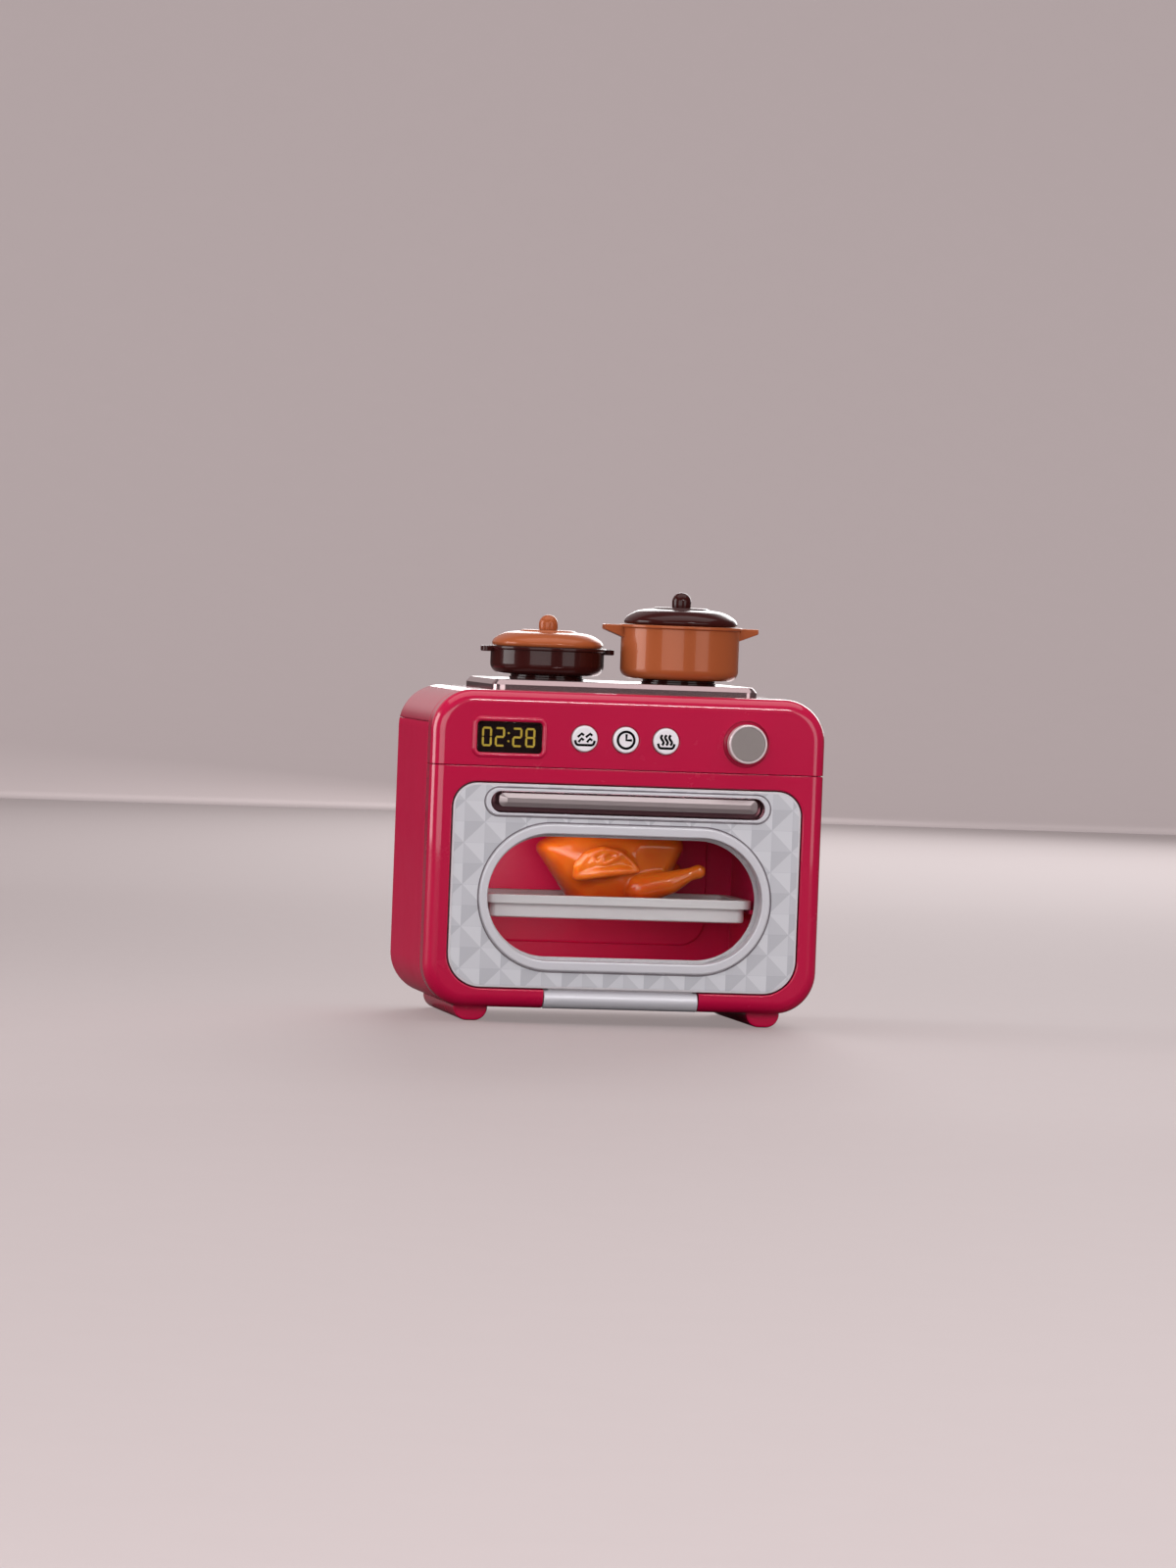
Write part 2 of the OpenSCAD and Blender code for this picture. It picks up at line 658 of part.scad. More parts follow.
module stadium_h(w, h) {
  translate([-w / 2, -h / 2 + 2]) square([w, h - 4]);
  translate([-w / 2 + 2, -h / 2]) square([w - 4, h]);
  for (sx = [-1, 1], sy = [-1, 1]) translate([sx * (w / 2 - 2), sy * (h / 2 - 2)]) circle(2);
}

// lid standing on a rim: round shoulder, gentle dome, and a raised disc in the middle
module lid(r, h) rotate_extrude() difference() {
  union() {
    intersection() {
      translate([r - h + 1.9, 0.8]) circle(h - 1.9);
      square([r + 1, h]);
    }
    polygon([[0, 0], [r - 0.4, 0], [r - 0.4, 0.8], [r - h + 1.9, h - 1.1], [12.5, h - 0.7], [0, h - 0.7]]);
    square([12, h]);
  }
  polygon([[0, -1], [r - 3.4, -1], [r - 3.4, h * 0.3], [r * 0.5, h * 0.55], [0, h * 0.55]]);
}

module lid_knob() rotate_extrude() {
  square([4.35, 2.6]);
  intersection() {
    translate([0, 2.6]) circle(4.35);
    square([4.4, 7]);
  }
}

// cooking vessel with a round foot edge and a thin flange round its rim
module vessel(r, h) {
  soft_disc(r - 1.1, 5, h);
  translate([0, 0, h - 1.3]) cylinder(r = r, h = 1.3);
}

module pan_lid() color(copper) body_frame() translate([pan_x, pan_y, burner_z + pan_h + 0.1]) lid(pan_r - 1.6, lid_h);

module pan_lid_knob() color(copper) body_frame() translate([pan_x, pan_y, burner_z + pan_h + lid_h + 0.1]) lid_knob();

module pot() color(copper) body_frame() translate([pot_x, pot_y, burner_z]) difference() {
  union() {
    vessel(pot_r, pot_h);
    for (s = [0, 1]) mirror([s, 0, 0]) translate([0, 3.5, 0]) rotate([90, 0, 0]) linear_extrude(7)
      polygon([[pot_r - 2, pot_h - 6.4], [pot_r - 1, pot_h - 6.4], [pot_r + 7.7, pot_h - 2.6],
        [pot_r + 7.7, pot_h - 0.3], [pot_r - 2, pot_h - 0.3]]);
  }
  translate([0, 0, 1.4]) soft_disc(pot_r - 2.5, 3.6, pot_h);
}

module pot_lid() color(dark) body_frame() translate([pot_x, pot_y, burner_z + pot_h + 0.1]) lid(pot_r - 2.2, lid_h + 0.4);

module pot_lid_knob() color(dark) body_frame() translate([pot_x, pot_y, burner_z + pot_h + lid_h + 0.5]) lid_knob();

// ---- output ----

front_frame();
control_panel();
top_cover();
side_shell();
base_plate();
feet();
cavity_liner();
cavity_back();
tray_rails();
hob_plate();
left_burner();
right_burner();
display_lens();
display_card();
display_digits();
control_board();
button_switches();
click_spring();
lamp_board();
lamp_lens();
speaker_basket();
speaker_cone();
battery_box();
contact_plates();
cell_left();
cell_middle();
cell_right();
battery_door();
battery_screw();
back_screws();
base_screws();
catch_magnet();
door_panel();
facet_film();
door_back();
window_bezel();
window_pane();
handle_cup();
handle_bar();
hinge_barrel();
hinge_pins();
door_screws();
tray();
roast();
pan();
pan_lid();
pan_lid_knob();
pot();
pot_lid();
pot_lid_knob();
knob_disc();
knob_ring();
knob_shaft();
click_wheel();
button_wave();
button_clock();
button_steam();
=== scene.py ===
# %% [markdown]
# # A toy oven, dressed in Blender
# The oven's solids come from its CAD model. They say where each piece is and
# how it moves. This notebook makes the surface that is seen: soft moulded
# edges, seams, glossy plastic, satin silver trim, and a translucent roast.

# %% Start with the CAD frame
import math

import bmesh
import bpy
from mathutils import Matrix, Vector


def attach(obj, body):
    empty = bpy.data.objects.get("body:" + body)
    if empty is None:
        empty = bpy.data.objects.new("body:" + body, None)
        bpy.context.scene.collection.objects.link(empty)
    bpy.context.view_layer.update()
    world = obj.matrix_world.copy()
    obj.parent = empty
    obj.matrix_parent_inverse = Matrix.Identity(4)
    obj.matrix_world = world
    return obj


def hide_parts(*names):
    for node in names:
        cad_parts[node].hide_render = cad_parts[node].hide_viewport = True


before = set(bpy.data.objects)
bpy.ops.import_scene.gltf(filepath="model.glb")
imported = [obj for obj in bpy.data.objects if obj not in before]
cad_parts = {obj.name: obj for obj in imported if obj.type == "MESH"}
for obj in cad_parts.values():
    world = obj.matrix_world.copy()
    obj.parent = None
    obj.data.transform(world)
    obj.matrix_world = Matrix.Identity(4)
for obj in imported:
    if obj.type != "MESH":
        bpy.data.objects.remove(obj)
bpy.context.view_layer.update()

# %% [markdown]
# Lengths here are the toy's own millimetres: x = 0 is the middle, y = 0 the
# front face, z = 0 the underside of the body. Blender works in metres from
# the floor, so every mesh is turned into metres once, when it is finished.

# %% From body millimetres to metres
FRONT_Y, FEET_H = -47.75, 6.5
TO_METRES = Matrix.Scale(0.001, 4) @ Matrix.Translation((0, FRONT_Y, FEET_H))


def spot(x, y, z):
    """A point in the toy's millimetres, in Blender's metres."""
    return TO_METRES @ Vector((x, y, z))


print("front face at y =", round(spot(0, 0, 0).y, 5))

# %% [markdown]
# Most of the toy is rounded rectangles at different depths: the body, the
# door, the window ring, the tray. The first outline is a face of four
# vertices whose corners a vertex bevel rounds. Each further outline is
# extruded from the last one, and its vertices move to their own corner arcs.

# %% Stacks of rounded outlines


def bevel(bm, geom, width, segments=2, affect="EDGES"):
    bmesh.ops.bevel(bm, geom=geom, offset=width, offset_type="OFFSET", segments=segments, profile=0.5,
                    affect=affect, material=-1, clamp_overlap=affect == "EDGES")


def corner_centre(outline, sx, sz):
    w, h, r_top, r_low, y, cx, cz = outline
    r = r_top if sz > 0 else r_low
    return Vector((cx + sx * (w / 2 - r), y, cz + sz * (h / 2 - r))), r


def stack(outlines, segments=10, ends="capped"):
    """Skins through outlines (w, h, r_top, r_low, y, cx, cz), all facing the front."""
    bm = bmesh.new()
    w, h, r_top, r_low, y, cx, cz = outlines[0]
    corners = [bm.verts.new((cx + sx * w / 2, y, cz + sz * h / 2))
               for sx, sz in ((-1, -1), (1, -1), (1, 1), (-1, 1))]
    old = set(bm.edges)
    bm.faces.new(corners)
    for radius, pair in ((r_low, corners[:2]), (r_top, corners[2:])):
        bevel(bm, pair, radius, segments, "VERTICES")
    edges = [e for e in bm.edges if e not in old]
    first = edges
    bmesh.ops.delete(bm, geom=list({f for e in edges for f in e.link_faces}), context="FACES_ONLY")
    turn, root = {}, {}
    for v in {v for e in edges for v in e.verts}:
        sx, sz = math.copysign(1, v.co.x - cx), math.copysign(1, v.co.z - cz)
        centre, r = corner_centre(outlines[0], sx, sz)
        turn[v], root[v] = (sx, sz, (v.co - centre) / r), v
    for outline in outlines[1:]:
        grown = bmesh.ops.extrude_edge_only(bm, edges=edges)["geom"]
        new = {g for g in grown if isinstance(g, bmesh.types.BMVert)}
        for v in new:
            before = next(e.other_vert(v) for e in v.link_edges if e.other_vert(v) not in new)
            turn[v], root[v] = turn[before], root[before]
            sx, sz, way = turn[v]
            centre, r = corner_centre(outline, sx, sz)
            v.co = centre + way * r
        edges = [g for g in grown if isinstance(g, bmesh.types.BMEdge) and set(g.verts) <= new]
    if ends == "capped":
        for end in (first, edges):
            bmesh.ops.contextual_create(bm, geom=end)
    if ends == "joined":
        for e in edges:
            p, q = e.verts
            bm.faces.new((p, q, root[q], root[p]))
    return bm


def quarter(r, steps=6):
    """Points of a quarter round: how far it pulls in, and how deep it lies."""
    turns = [math.pi / 2 * i / steps for i in range(steps + 1)]
    return [(r - r * math.cos(t), r - r * math.sin(t)) for t in turns]


print("a 1 mm quarter round:", [(round(a, 2), round(b, 2)) for a, b in quarter(1, 2)])

# %% [markdown]
# A finished piece gets the same last steps each time: loose doubles merged,
# faces turned outwards, even normals, a material, and the body that it moves
# with. Even normals keep flat faces truly flat and let a rounded edge run into
# them without a break, which is what makes a moulded edge shine cleanly.

# %% Even normals


def even_normals(mesh, crease):
    """Flat faces keep their normal, and round faces beside them start from it."""
    limit = math.cos(math.radians(crease))
    faces = mesh.polygons
    normals = [face.normal.copy() for face in faces]
    flat = [len(face.vertices) > 8 or max(abs(c) for c in face.normal) > 0.99999 for face in faces]
    around = [[] for _ in mesh.vertices]
    for face in faces:
        for v in face.vertices:
            around[v].append(face.index)
    corner_normals = []
    for face, own, is_flat in zip(faces, normals, flat):
        for v in face.vertices:
            if is_flat:
                corner_normals.append(own)
                continue
            near = [i for i in around[v] if normals[i].dot(own) > limit]
            plane = [i for i in near if flat[i]]
            if plane:
                corner_normals.append(normals[max(plane, key=lambda i: normals[i].dot(own))])
            else:
                total = sum((normals[i] * faces[i].area for i in near), Vector())
                corner_normals.append(total.normalized() if total.length > 0 else own)
    mesh.normals_split_custom_set(corner_normals)


# %% Finish a piece


def new_object(name, data):
    made = bpy.data.objects.new(name, data)
    bpy.context.scene.collection.objects.link(made)
    return made


def shift(bm, matrix):
    bmesh.ops.transform(bm, matrix=matrix, verts=bm.verts)
    return bm


def finish(bm, name, body, material, slot, crease=32, recalc=True, replaces=(), even=True):
    if recalc:
        bmesh.ops.remove_doubles(bm, verts=bm.verts, dist=1e-4)
        bmesh.ops.recalc_face_normals(bm, faces=bm.faces)
    shift(bm, TO_METRES)
    mesh = bpy.data.meshes.new(name)
    bm.to_mesh(mesh)
    bm.free()
    mesh.shade_smooth()
    if even:
        even_normals(mesh, crease)
    mesh.materials.append(material)
    piece = new_object(name, mesh)
    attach(piece, body)
    if replaces:
        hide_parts(*replaces)
    print(f"{name}: {len(mesh.polygons)} faces on {body}")
    return piece


def cut_away(bm, cutters):
    """The solid bm with the closed solids in cutters taken out, by an exact boolean."""
    made = []
    for i, part in enumerate([bm, *cutters]):
        mesh = bpy.data.meshes.new(f"cut_{i}")
        bmesh.ops.recalc_face_normals(part, faces=part.faces)
        part.to_mesh(mesh)
        part.free()
        made.append(new_object(f"cut_{i}", mesh))
    for tool in made[1:]:
        step = made[0].modifiers.new("cut", "BOOLEAN")
        step.operation, step.solver, step.object = "DIFFERENCE", "EXACT", tool
    result = bmesh.new()
    result.from_object(made[0], bpy.context.evaluated_depsgraph_get())
    for o in made:
        mesh = o.data
        bpy.data.objects.remove(o)
        bpy.data.meshes.remove(mesh)
    return result


def block(x0, x1, y0, y1, z0, z1):
    bm = bmesh.new()
    size = Matrix.Diagonal((x1 - x0, y1 - y0, z1 - z0, 1))
    middle = Matrix.Translation(((x0 + x1) / 2, (y0 + y1) / 2, (z0 + z1) / 2))
    bmesh.ops.create_cube(bm, size=1, matrix=middle @ size)
    return bm


def post(x, z, r, y0, y1, segments=48):
    """A round bar from y0 back to y1."""
    bm = bmesh.new()
    turn = Matrix.Translation((x, (y0 + y1) / 2, z)) @ Matrix.Rotation(math.pi / 2, 4, "X")
    bmesh.ops.create_cone(bm, cap_ends=True, segments=segments, radius1=r, radius2=r, depth=y1 - y0,
                          matrix=turn)
    return bm


def soften(bm, width, angle=40):
    """Bevels every edge that turns by more than angle."""
    turned = math.radians(angle)
    bevel(bm, [e for e in bm.edges if len(e.link_faces) == 2 and e.calc_face_angle(0) > turned], width)


print("helpers ready")

# %% [markdown]
# ## Finishes
# Moulded toy plastic is never one flat colour. Its gloss varies a little where
# it was touched, it has a faint orange-peel ripple, and thin flow shading. One
# node group gives all moulded pieces that, each with its own colour and
# amounts. It works on Object coordinates, so that it stays put on a piece.

# %% A small helper for node trees


def preset(made, values):
    """Sets a node's inputs by name."""
    for key, value in values.items():
        made.inputs[key].default_value = value


def new_material(name, colour, rough=0.4, metal=0.0):
    material = bpy.data.materials.new(name)
    material.use_nodes = True
    shader = material.node_tree.nodes["Principled BSDF"]
    preset(shader, {"Base Color": (*colour, 1), "Roughness": rough, "Metallic": metal})
    material.diffuse_color = (*colour, 1)
    return material, shader


def node(tree, kind, **values):
    made = tree.nodes.new(kind)
    for key, value in values.items():
        setattr(made, key, value)
    return made


def math_node(tree, operation, a, b=None, c=None):
    made = node(tree, "ShaderNodeMath", operation=operation)
    for socket, value in zip(made.inputs, (a, b, c)):
        if value is None:
            continue
        if isinstance(value, (int, float)):
            socket.default_value = value
        else:
            tree.links.new(value, socket)
    return made.outputs[0]


def object_space(tree):
    return node(tree, "ShaderNodeTexCoord").outputs["Object"]


def axes(tree):
    """The X, Y and Z of the point that is shaded, in metres."""
    made = node(tree, "ShaderNodeSeparateXYZ")
    tree.links.new(object_space(tree), made.inputs[0])
    return made.outputs


def mix_colour(tree, factor, first, second, blend_type="MIX"):
    """Mixes two colours. Each is three numbers or another node's output."""
    made = node(tree, "ShaderNodeMix", data_type="RGBA", blend_type=blend_type)
    for i, value in ((0, factor), (6, first), (7, second)):
        if isinstance(value, tuple):
            made.inputs[i].default_value = (*value, 1)
        else:
            tree.links.new(value, made.inputs[i])
    return made.outputs[2]


def ramp(tree, factor, first, second):
    """A run from one screen colour to another."""
    made = node(tree, "ShaderNodeValToRGB")
    for element, screen in zip(made.color_ramp.elements, (first, second)):
        element.color = (*linear(*screen), 1)
    tree.links.new(factor, made.inputs["Fac"])
    return made.outputs["Color"]


def linear(r, g, b):
    """A colour as seen on a screen, 0 to 255, as linear light."""
    back = [c / 255 for c in (r, g, b)]
    return tuple(c / 12.92 if c <= 0.04045 else ((c + 0.055) / 1.055) ** 2.4 for c in back)


print("screen pink as linear light:", [round(c, 3) for c in linear(166, 30, 62)])

# %% The moulded finish, as a node group
moulded = bpy.data.node_groups.new("moulded_finish", "ShaderNodeTree")
SOCKET = {"Colour": "NodeSocketColor"}
for name, value in (("Colour", (0.8, 0.8, 0.8, 1)), ("Tone", 0.06), ("Roughness", 0.25), ("Smudge", 0.08),
                    ("Ripple", 0.3), ("Grain size", 1500.0)):
    kind = SOCKET.get(name, "NodeSocketFloat")
    moulded.interface.new_socket(name, in_out="INPUT", socket_type=kind).default_value = value
for name in ("Colour", "Roughness", "Height"):
    moulded.interface.new_socket(name, in_out="OUTPUT", socket_type=SOCKET.get(name, "NodeSocketFloat"))
inside = node(moulded, "NodeGroupInput").outputs


def noise(tree, scale, detail=2.0, rough=0.5):
    made = node(tree, "ShaderNodeTexNoise")
    preset(made, {"Scale": scale, "Detail": detail, "Roughness": rough})
    tree.links.new(object_space(tree), made.inputs["Vector"])
    return made.outputs["Fac"]


cloud = math_node(moulded, "SUBTRACT", noise(moulded, 22, 3), 0.5)
smudge = math_node(moulded, "SUBTRACT", noise(moulded, 60, 5, 0.65), 0.5)
shade = node(moulded, "ShaderNodeHueSaturation")
moulded.links.new(inside["Colour"], shade.inputs["Color"])
moulded.links.new(math_node(moulded, "MULTIPLY_ADD", cloud, inside["Tone"], 1.0), shade.inputs["Value"])
gloss = math_node(moulded, "MULTIPLY_ADD", smudge, inside["Smudge"], inside["Roughness"])
peel = noise(moulded, 260, 1.5)
grain_node = node(moulded, "ShaderNodeTexNoise")
moulded.links.new(object_space(moulded), grain_node.inputs["Vector"])
moulded.links.new(inside["Grain size"], grain_node.inputs["Scale"])
height = math_node(moulded, "MULTIPLY", math_node(moulded, "ADD", peel, math_node(
    moulded, "MULTIPLY", grain_node.outputs["Fac"], 0.25)), inside["Ripple"])
outside = node(moulded, "NodeGroupOutput").inputs
moulded.links.new(shade.outputs["Color"], outside["Colour"])
moulded.links.new(gloss, outside["Roughness"])
moulded.links.new(height, outside["Height"])
print("moulded_finish has", len(moulded.nodes), "nodes")

# %% A moulded material takes the group and its own amounts


def moulded_material(name, screen, rough=0.25, tone=0.08, smudge=0.1, ripple=0.25, metal=0.0, coat=0.0,
                     grain=1500, shine=0.5):
    """Moulded plastic whose colour is given as seen on a screen, 0 to 255."""
    colour = linear(*screen)
    material, shader = new_material(name, colour, rough, metal)
    tree = material.node_tree
    finish_group = node(tree, "ShaderNodeGroup", node_tree=moulded)
    preset(finish_group, {"Colour": (*colour, 1), "Tone": tone, "Roughness": rough, "Smudge": smudge,
                          "Ripple": ripple, "Grain size": grain})
    relief = node(tree, "ShaderNodeBump")
    preset(relief, {"Strength": 0.5, "Distance": 0.00006})
    tree.links.new(finish_group.outputs["Colour"], shader.inputs["Base Color"])
    tree.links.new(finish_group.outputs["Roughness"], shader.inputs["Roughness"])
    tree.links.new(finish_group.outputs["Height"], relief.inputs["Height"])
    tree.links.new(relief.outputs["Normal"], shader.inputs["Normal"])
    preset(shader, {"Coat Weight": coat, "Coat Roughness": 0.035, "Specular IOR Level": shine})
    return material


pink = moulded_material("pink_gloss", (176, 8, 58), rough=0.26, coat=0.8, shine=0.2)
pink_side = moulded_material("pink_side", (180, 8, 60), rough=0.3, coat=0.1, shine=0.12)
# The cavity's pink is brighter than the body's: painted light for the dim cavity.
pink_lit_inside = moulded_material("pink_lit_inside", (206, 16, 74), rough=0.34, shine=0.2)
white_gloss = moulded_material("white_gloss", (200, 194, 198), rough=0.28, tone=0.05, coat=0.2)
silver = moulded_material("satin_silver", (200, 197, 203), rough=0.40, tone=0.05, metal=0.25,
                          grain=2600)
tray_silver = moulded_material("tray_silver", (222, 218, 219), rough=0.42, tone=0.05, smudge=0.12, metal=0.2,
                               grain=2600)
copper = moulded_material("copper_pearl", (156, 80, 44), rough=0.30, tone=0.14, smudge=0.12, coat=0.3,
                          metal=0.1, shine=0.12)
cap_white = moulded_material("cap_white", (224, 217, 222), rough=0.32, tone=0.04, smudge=0.08)
ring_bright = moulded_material("ring_bright", (226, 208, 210), rough=0.22, tone=0.04, smudge=0.06, metal=0.35)
cocoa = moulded_material("cocoa_enamel", (50, 14, 12), rough=0.24, tone=0.15, smudge=0.12, coat=0.3,
                         shine=0.1)
ink = moulded_material("icon_ink", (7, 6, 9), rough=0.6, tone=0.1, shine=0.05)
black = moulded_material("black_plastic", (26, 20, 22), rough=0.4, tone=0.2)
steel = moulded_material("plain_steel", (150, 148, 150), rough=0.35, metal=1.0)
print("materials:", len(bpy.data.materials))

# %% [markdown]
# The trim is vacuum-plated plastic: partly metallic, with soft wear. Its warm
# tints are painted reflection: pink-brown for a reddish floor on the hob and
# the bar, pink for the frame in the handle cup. Its flat fronts pick up the
# dim room and its bevels catch the lamps.

# %% Plated trim
# The warm tints below are painted reflection: a reddish floor on the hob and the bar, the pink frame in the
# cup.
hob_chrome = moulded_material("hob_chrome", (170, 146, 148), rough=0.16, tone=0.06, smudge=0.08, metal=0.88,
                              ripple=0.2)
bar_chrome = moulded_material("bar_chrome", (178, 164, 165), rough=0.2, tone=0.06, smudge=0.08, metal=0.55,
                              ripple=0.15)
cup_chrome = moulded_material("cup_chrome", (150, 108, 116), rough=0.16, tone=0.1, smudge=0.08, metal=0.8,
                              ripple=0.15)
card_black = moulded_material("card_black", (30, 8, 10), rough=0.6, tone=0.3)
print("plated trim ready")

# %% [markdown]
# The knob's face is spun metal: fine rings round its centre. The rings come
# from a wave texture whose bands run round the knob's own axis.

# %% Spun face of the knob
brushed = moulded_material("spun_face", (146, 136, 134), rough=0.42, tone=0.05, smudge=0.06, metal=0.8)
tree = brushed.node_tree
axis = node(tree, "ShaderNodeMapping")
preset(axis, {"Location": tuple(-c for c in spot(52.9, 0, 121.5))})
tree.links.new(object_space(tree), axis.inputs["Vector"])
rings = node(tree, "ShaderNodeTexWave", wave_type="RINGS", rings_direction="Y")
preset(rings, {"Scale": 900, "Distortion": 1.2, "Detail": 2})
tree.links.new(axis.outputs["Vector"], rings.inputs["Vector"])
relief = next(n for n in tree.nodes if n.type == "BUMP")
preset(relief, {"Distance": 0.00003})
tree.links.new(rings.outputs["Fac"], relief.inputs["Height"])
print("spun face:", len(tree.nodes), "nodes")

# %% [markdown]
# The door's film is printed with folded-paper facets: columns of squares, in
# each a triangle that points right, each half in its own pale grey. The
# pattern is plain arithmetic on the Object coordinates. A dark band just
# outside the window and handle openings is painted shadow of the gaps there.

# %% Facet print, as a node group
TILE, PRINT_X, PRINT_Z = 9.37, 74.2, 82.9
facet_group = bpy.data.node_groups.new("facet_print", "ShaderNodeTree")
for name in ("Shade", "Line", "Rim"):
    facet_group.interface.new_socket(name, in_out="OUTPUT", socket_type="NodeSocketFloat")
film_point = axes(facet_group)


def M(op, a, b=None, c=None):
    return math_node(facet_group, op, a, b, c)


across = M("MULTIPLY_ADD", film_point["X"], 1000 / TILE, PRINT_X / TILE)
column, along = M("FLOOR", across), M("FRACT", across)
odd = M("PINGPONG", column, 1.0)
up = M("MULTIPLY_ADD", film_point["Z"], 1000 / TILE, -(PRINT_Z + FEET_H) / TILE)
shifted = M("ADD", up, odd)
wrapped = M("WRAP", shifted, 1.0, -1.0)
apart = M("ABSOLUTE", wrapped)
triangle = M("LESS_THAN", M("ADD", apart, along), 1.0)
above = M("GREATER_THAN", wrapped, 0.0)
light_tone = M("MULTIPLY_ADD", above, 0.22, 0.70)
dark_tone = M("MULTIPLY_ADD", above, 0.30, 0.0)
in_light = M("MULTIPLY", M("SUBTRACT", 1.0, triangle), light_tone)
mix_tone = M("ADD", M("MULTIPLY", triangle, dark_tone), in_light)
gap_shadow_masks = []
# A dark band just outside the window and handle openings: painted shadow of the gaps at their edges.
for reach, radius, middle in ((33.5, 33.2, 50.0), (58.8, 6.25, 92.2)):
    side = M("MAXIMUM", M("SUBTRACT", M("ABSOLUTE", M("MULTIPLY", film_point["X"], 1000)), reach), 0.0)
    rise = M("MULTIPLY_ADD", film_point["Z"], 1000, -(middle + FEET_H))
    away = M("SQRT", M("ADD", M("MULTIPLY", side, side), M("MULTIPLY", rise, rise)))
    gap_shadow_masks.append(M("LESS_THAN", away, radius + 0.6))
edge_across = M("LESS_THAN", M("PINGPONG", along, 0.5), 0.012)
edge_up = M("LESS_THAN", M("PINGPONG", M("FRACT", up), 0.5), 0.012)
out = node(facet_group, "NodeGroupOutput")
facet_group.links.new(mix_tone, out.inputs["Shade"])
facet_group.links.new(M("MAXIMUM", edge_across, edge_up), out.inputs["Line"])
facet_group.links.new(M("MAXIMUM", *gap_shadow_masks), out.inputs["Rim"])
print("facet_print has", len(facet_group.nodes), "nodes")

# %% Film material
facets = moulded_material("facet_film", (186, 186, 192), rough=0.30, tone=0.05, coat=0.25)
tree = facets.node_tree
print_nodes = node(tree, "ShaderNodeGroup", node_tree=facet_group)
tones = mix_colour(tree, print_nodes.outputs["Shade"], linear(176, 175, 181), linear(200, 199, 204))
lined = mix_colour(tree, print_nodes.outputs["Line"], tones, (0.90, 0.90, 0.92), "MULTIPLY")
# Painted shadow of the gaps darkens the film round the openings.
gap_shadowed = mix_colour(tree, print_nodes.outputs["Rim"], lined, (0.30, 0.26, 0.28), "MULTIPLY")
base = next(n for n in tree.nodes if n.type == "GROUP" and n.node_tree == moulded)
tree.links.new(gap_shadowed, base.inputs["Colour"])
print("film tones set")

# %% [markdown]
# The roast is soft translucent vinyl: orange, redder and darker towards the
# bottom and in patches, glossy all over, with light scattered under its skin.

# %% Roast skin
roast_skin, shader = new_material("roast_skin", linear(205, 98, 34), 0.2)
tree = roast_skin.node_tree
patches = noise(tree, 55, 3, 0.55)
fine = noise(tree, 420, 3, 0.6)
# Redder and darker towards the bottom of the roast, and in random patches.
low = node(tree, "ShaderNodeMapRange")
preset(low, {"From Min": 0.0505, "From Max": 0.068, "To Min": 0.75, "To Max": 0.0})
tree.links.new(axes(tree)["Z"], low.inputs["Value"])
deep = math_node(tree, "MULTIPLY_ADD", patches, 0.9, -0.28)
redness = math_node(tree, "ADD", low.outputs["Result"], deep)
tree.links.new(ramp(tree, redness, (210, 108, 26), (176, 34, 6)), shader.inputs["Base Color"])
tree.links.new(math_node(tree, "MULTIPLY_ADD", fine, 0.16, 0.12), shader.inputs["Roughness"])
relief = node(tree, "ShaderNodeBump")
preset(relief, {"Strength": 0.4, "Distance": 0.0002})
tree.links.new(fine, relief.inputs["Height"])
tree.links.new(relief.outputs["Normal"], shader.inputs["Normal"])
preset(shader, {"Specular IOR Level": 0.3, "Subsurface Weight": 0.7,
                "Subsurface Radius": (1.0, 0.35, 0.12), "Subsurface Scale": 0.006, "Coat Weight": 0.5,
                "Coat Roughness": 0.08})
print("roast skin:", len(tree.nodes), "nodes")

# %% [markdown]
# Clear pieces: the window pane is thin and clean, almost wholly transparent,
# so it lets its shadow through. The clock's lens is dark, and its digits are a
# printed yellow that glows a little.

# %% Clear pane, smoked lens, digits


def clear_material(name, screen, alpha, rough):
    material, shader = new_material(name, linear(*screen), rough)
    tree = material.node_tree
    dust = noise(tree, 90, 4, 0.6)
    tree.links.new(math_node(tree, "MULTIPLY_ADD", dust, 0.06, rough), shader.inputs["Roughness"])
    preset(shader, {"Alpha": alpha, "IOR": 1.45})
    return material


pane = clear_material("clear_pane", (40, 28, 32), 0.05, 0.03)
smoked = clear_material("smoked_lens", (24, 6, 8), 0.38, 0.04)
amber = clear_material("amber_lens", (230, 140, 40), 0.6, 0.2)
digit_yellow, shader = new_material("digit_yellow", linear(224, 188, 64), 0.5)
tree = digit_yellow.node_tree
yellow = ramp(tree, noise(tree, 300), (196, 158, 44), (232, 206, 92))
tree.links.new(yellow, shader.inputs["Base Color"])
tree.links.new(yellow, shader.inputs["Emission Color"])
preset(shader, {"Emission Strength": 1.15})
print("clear pieces ready")

# %% [markdown]
# Inside and underneath are working pieces: circuit boards with tracks, a
# paper loudspeaker cone, cells in printed wraps. Each has its own small
# pattern mixed over its colour by a mask.

# %% Patterned materials for the inside


def patterned(name, colour, second, kind, scale, rough=0.5, metal=0.0, **settings):
    material = moulded_material(name, colour, rough=rough, metal=metal, tone=0.15)
    tree = material.node_tree
    pattern = node(tree, kind, **settings)
    preset(pattern, {"Scale": scale})
    tree.links.new(object_space(tree), pattern.inputs["Vector"])
    mask = math_node(tree, "GREATER_THAN", pattern.outputs[0], 0.62)
    base = next(n for n in tree.nodes if n.type == "GROUP")
    tree.links.new(mix_colour(tree, mask, linear(*colour), linear(*second)), base.inputs["Colour"])
    return material


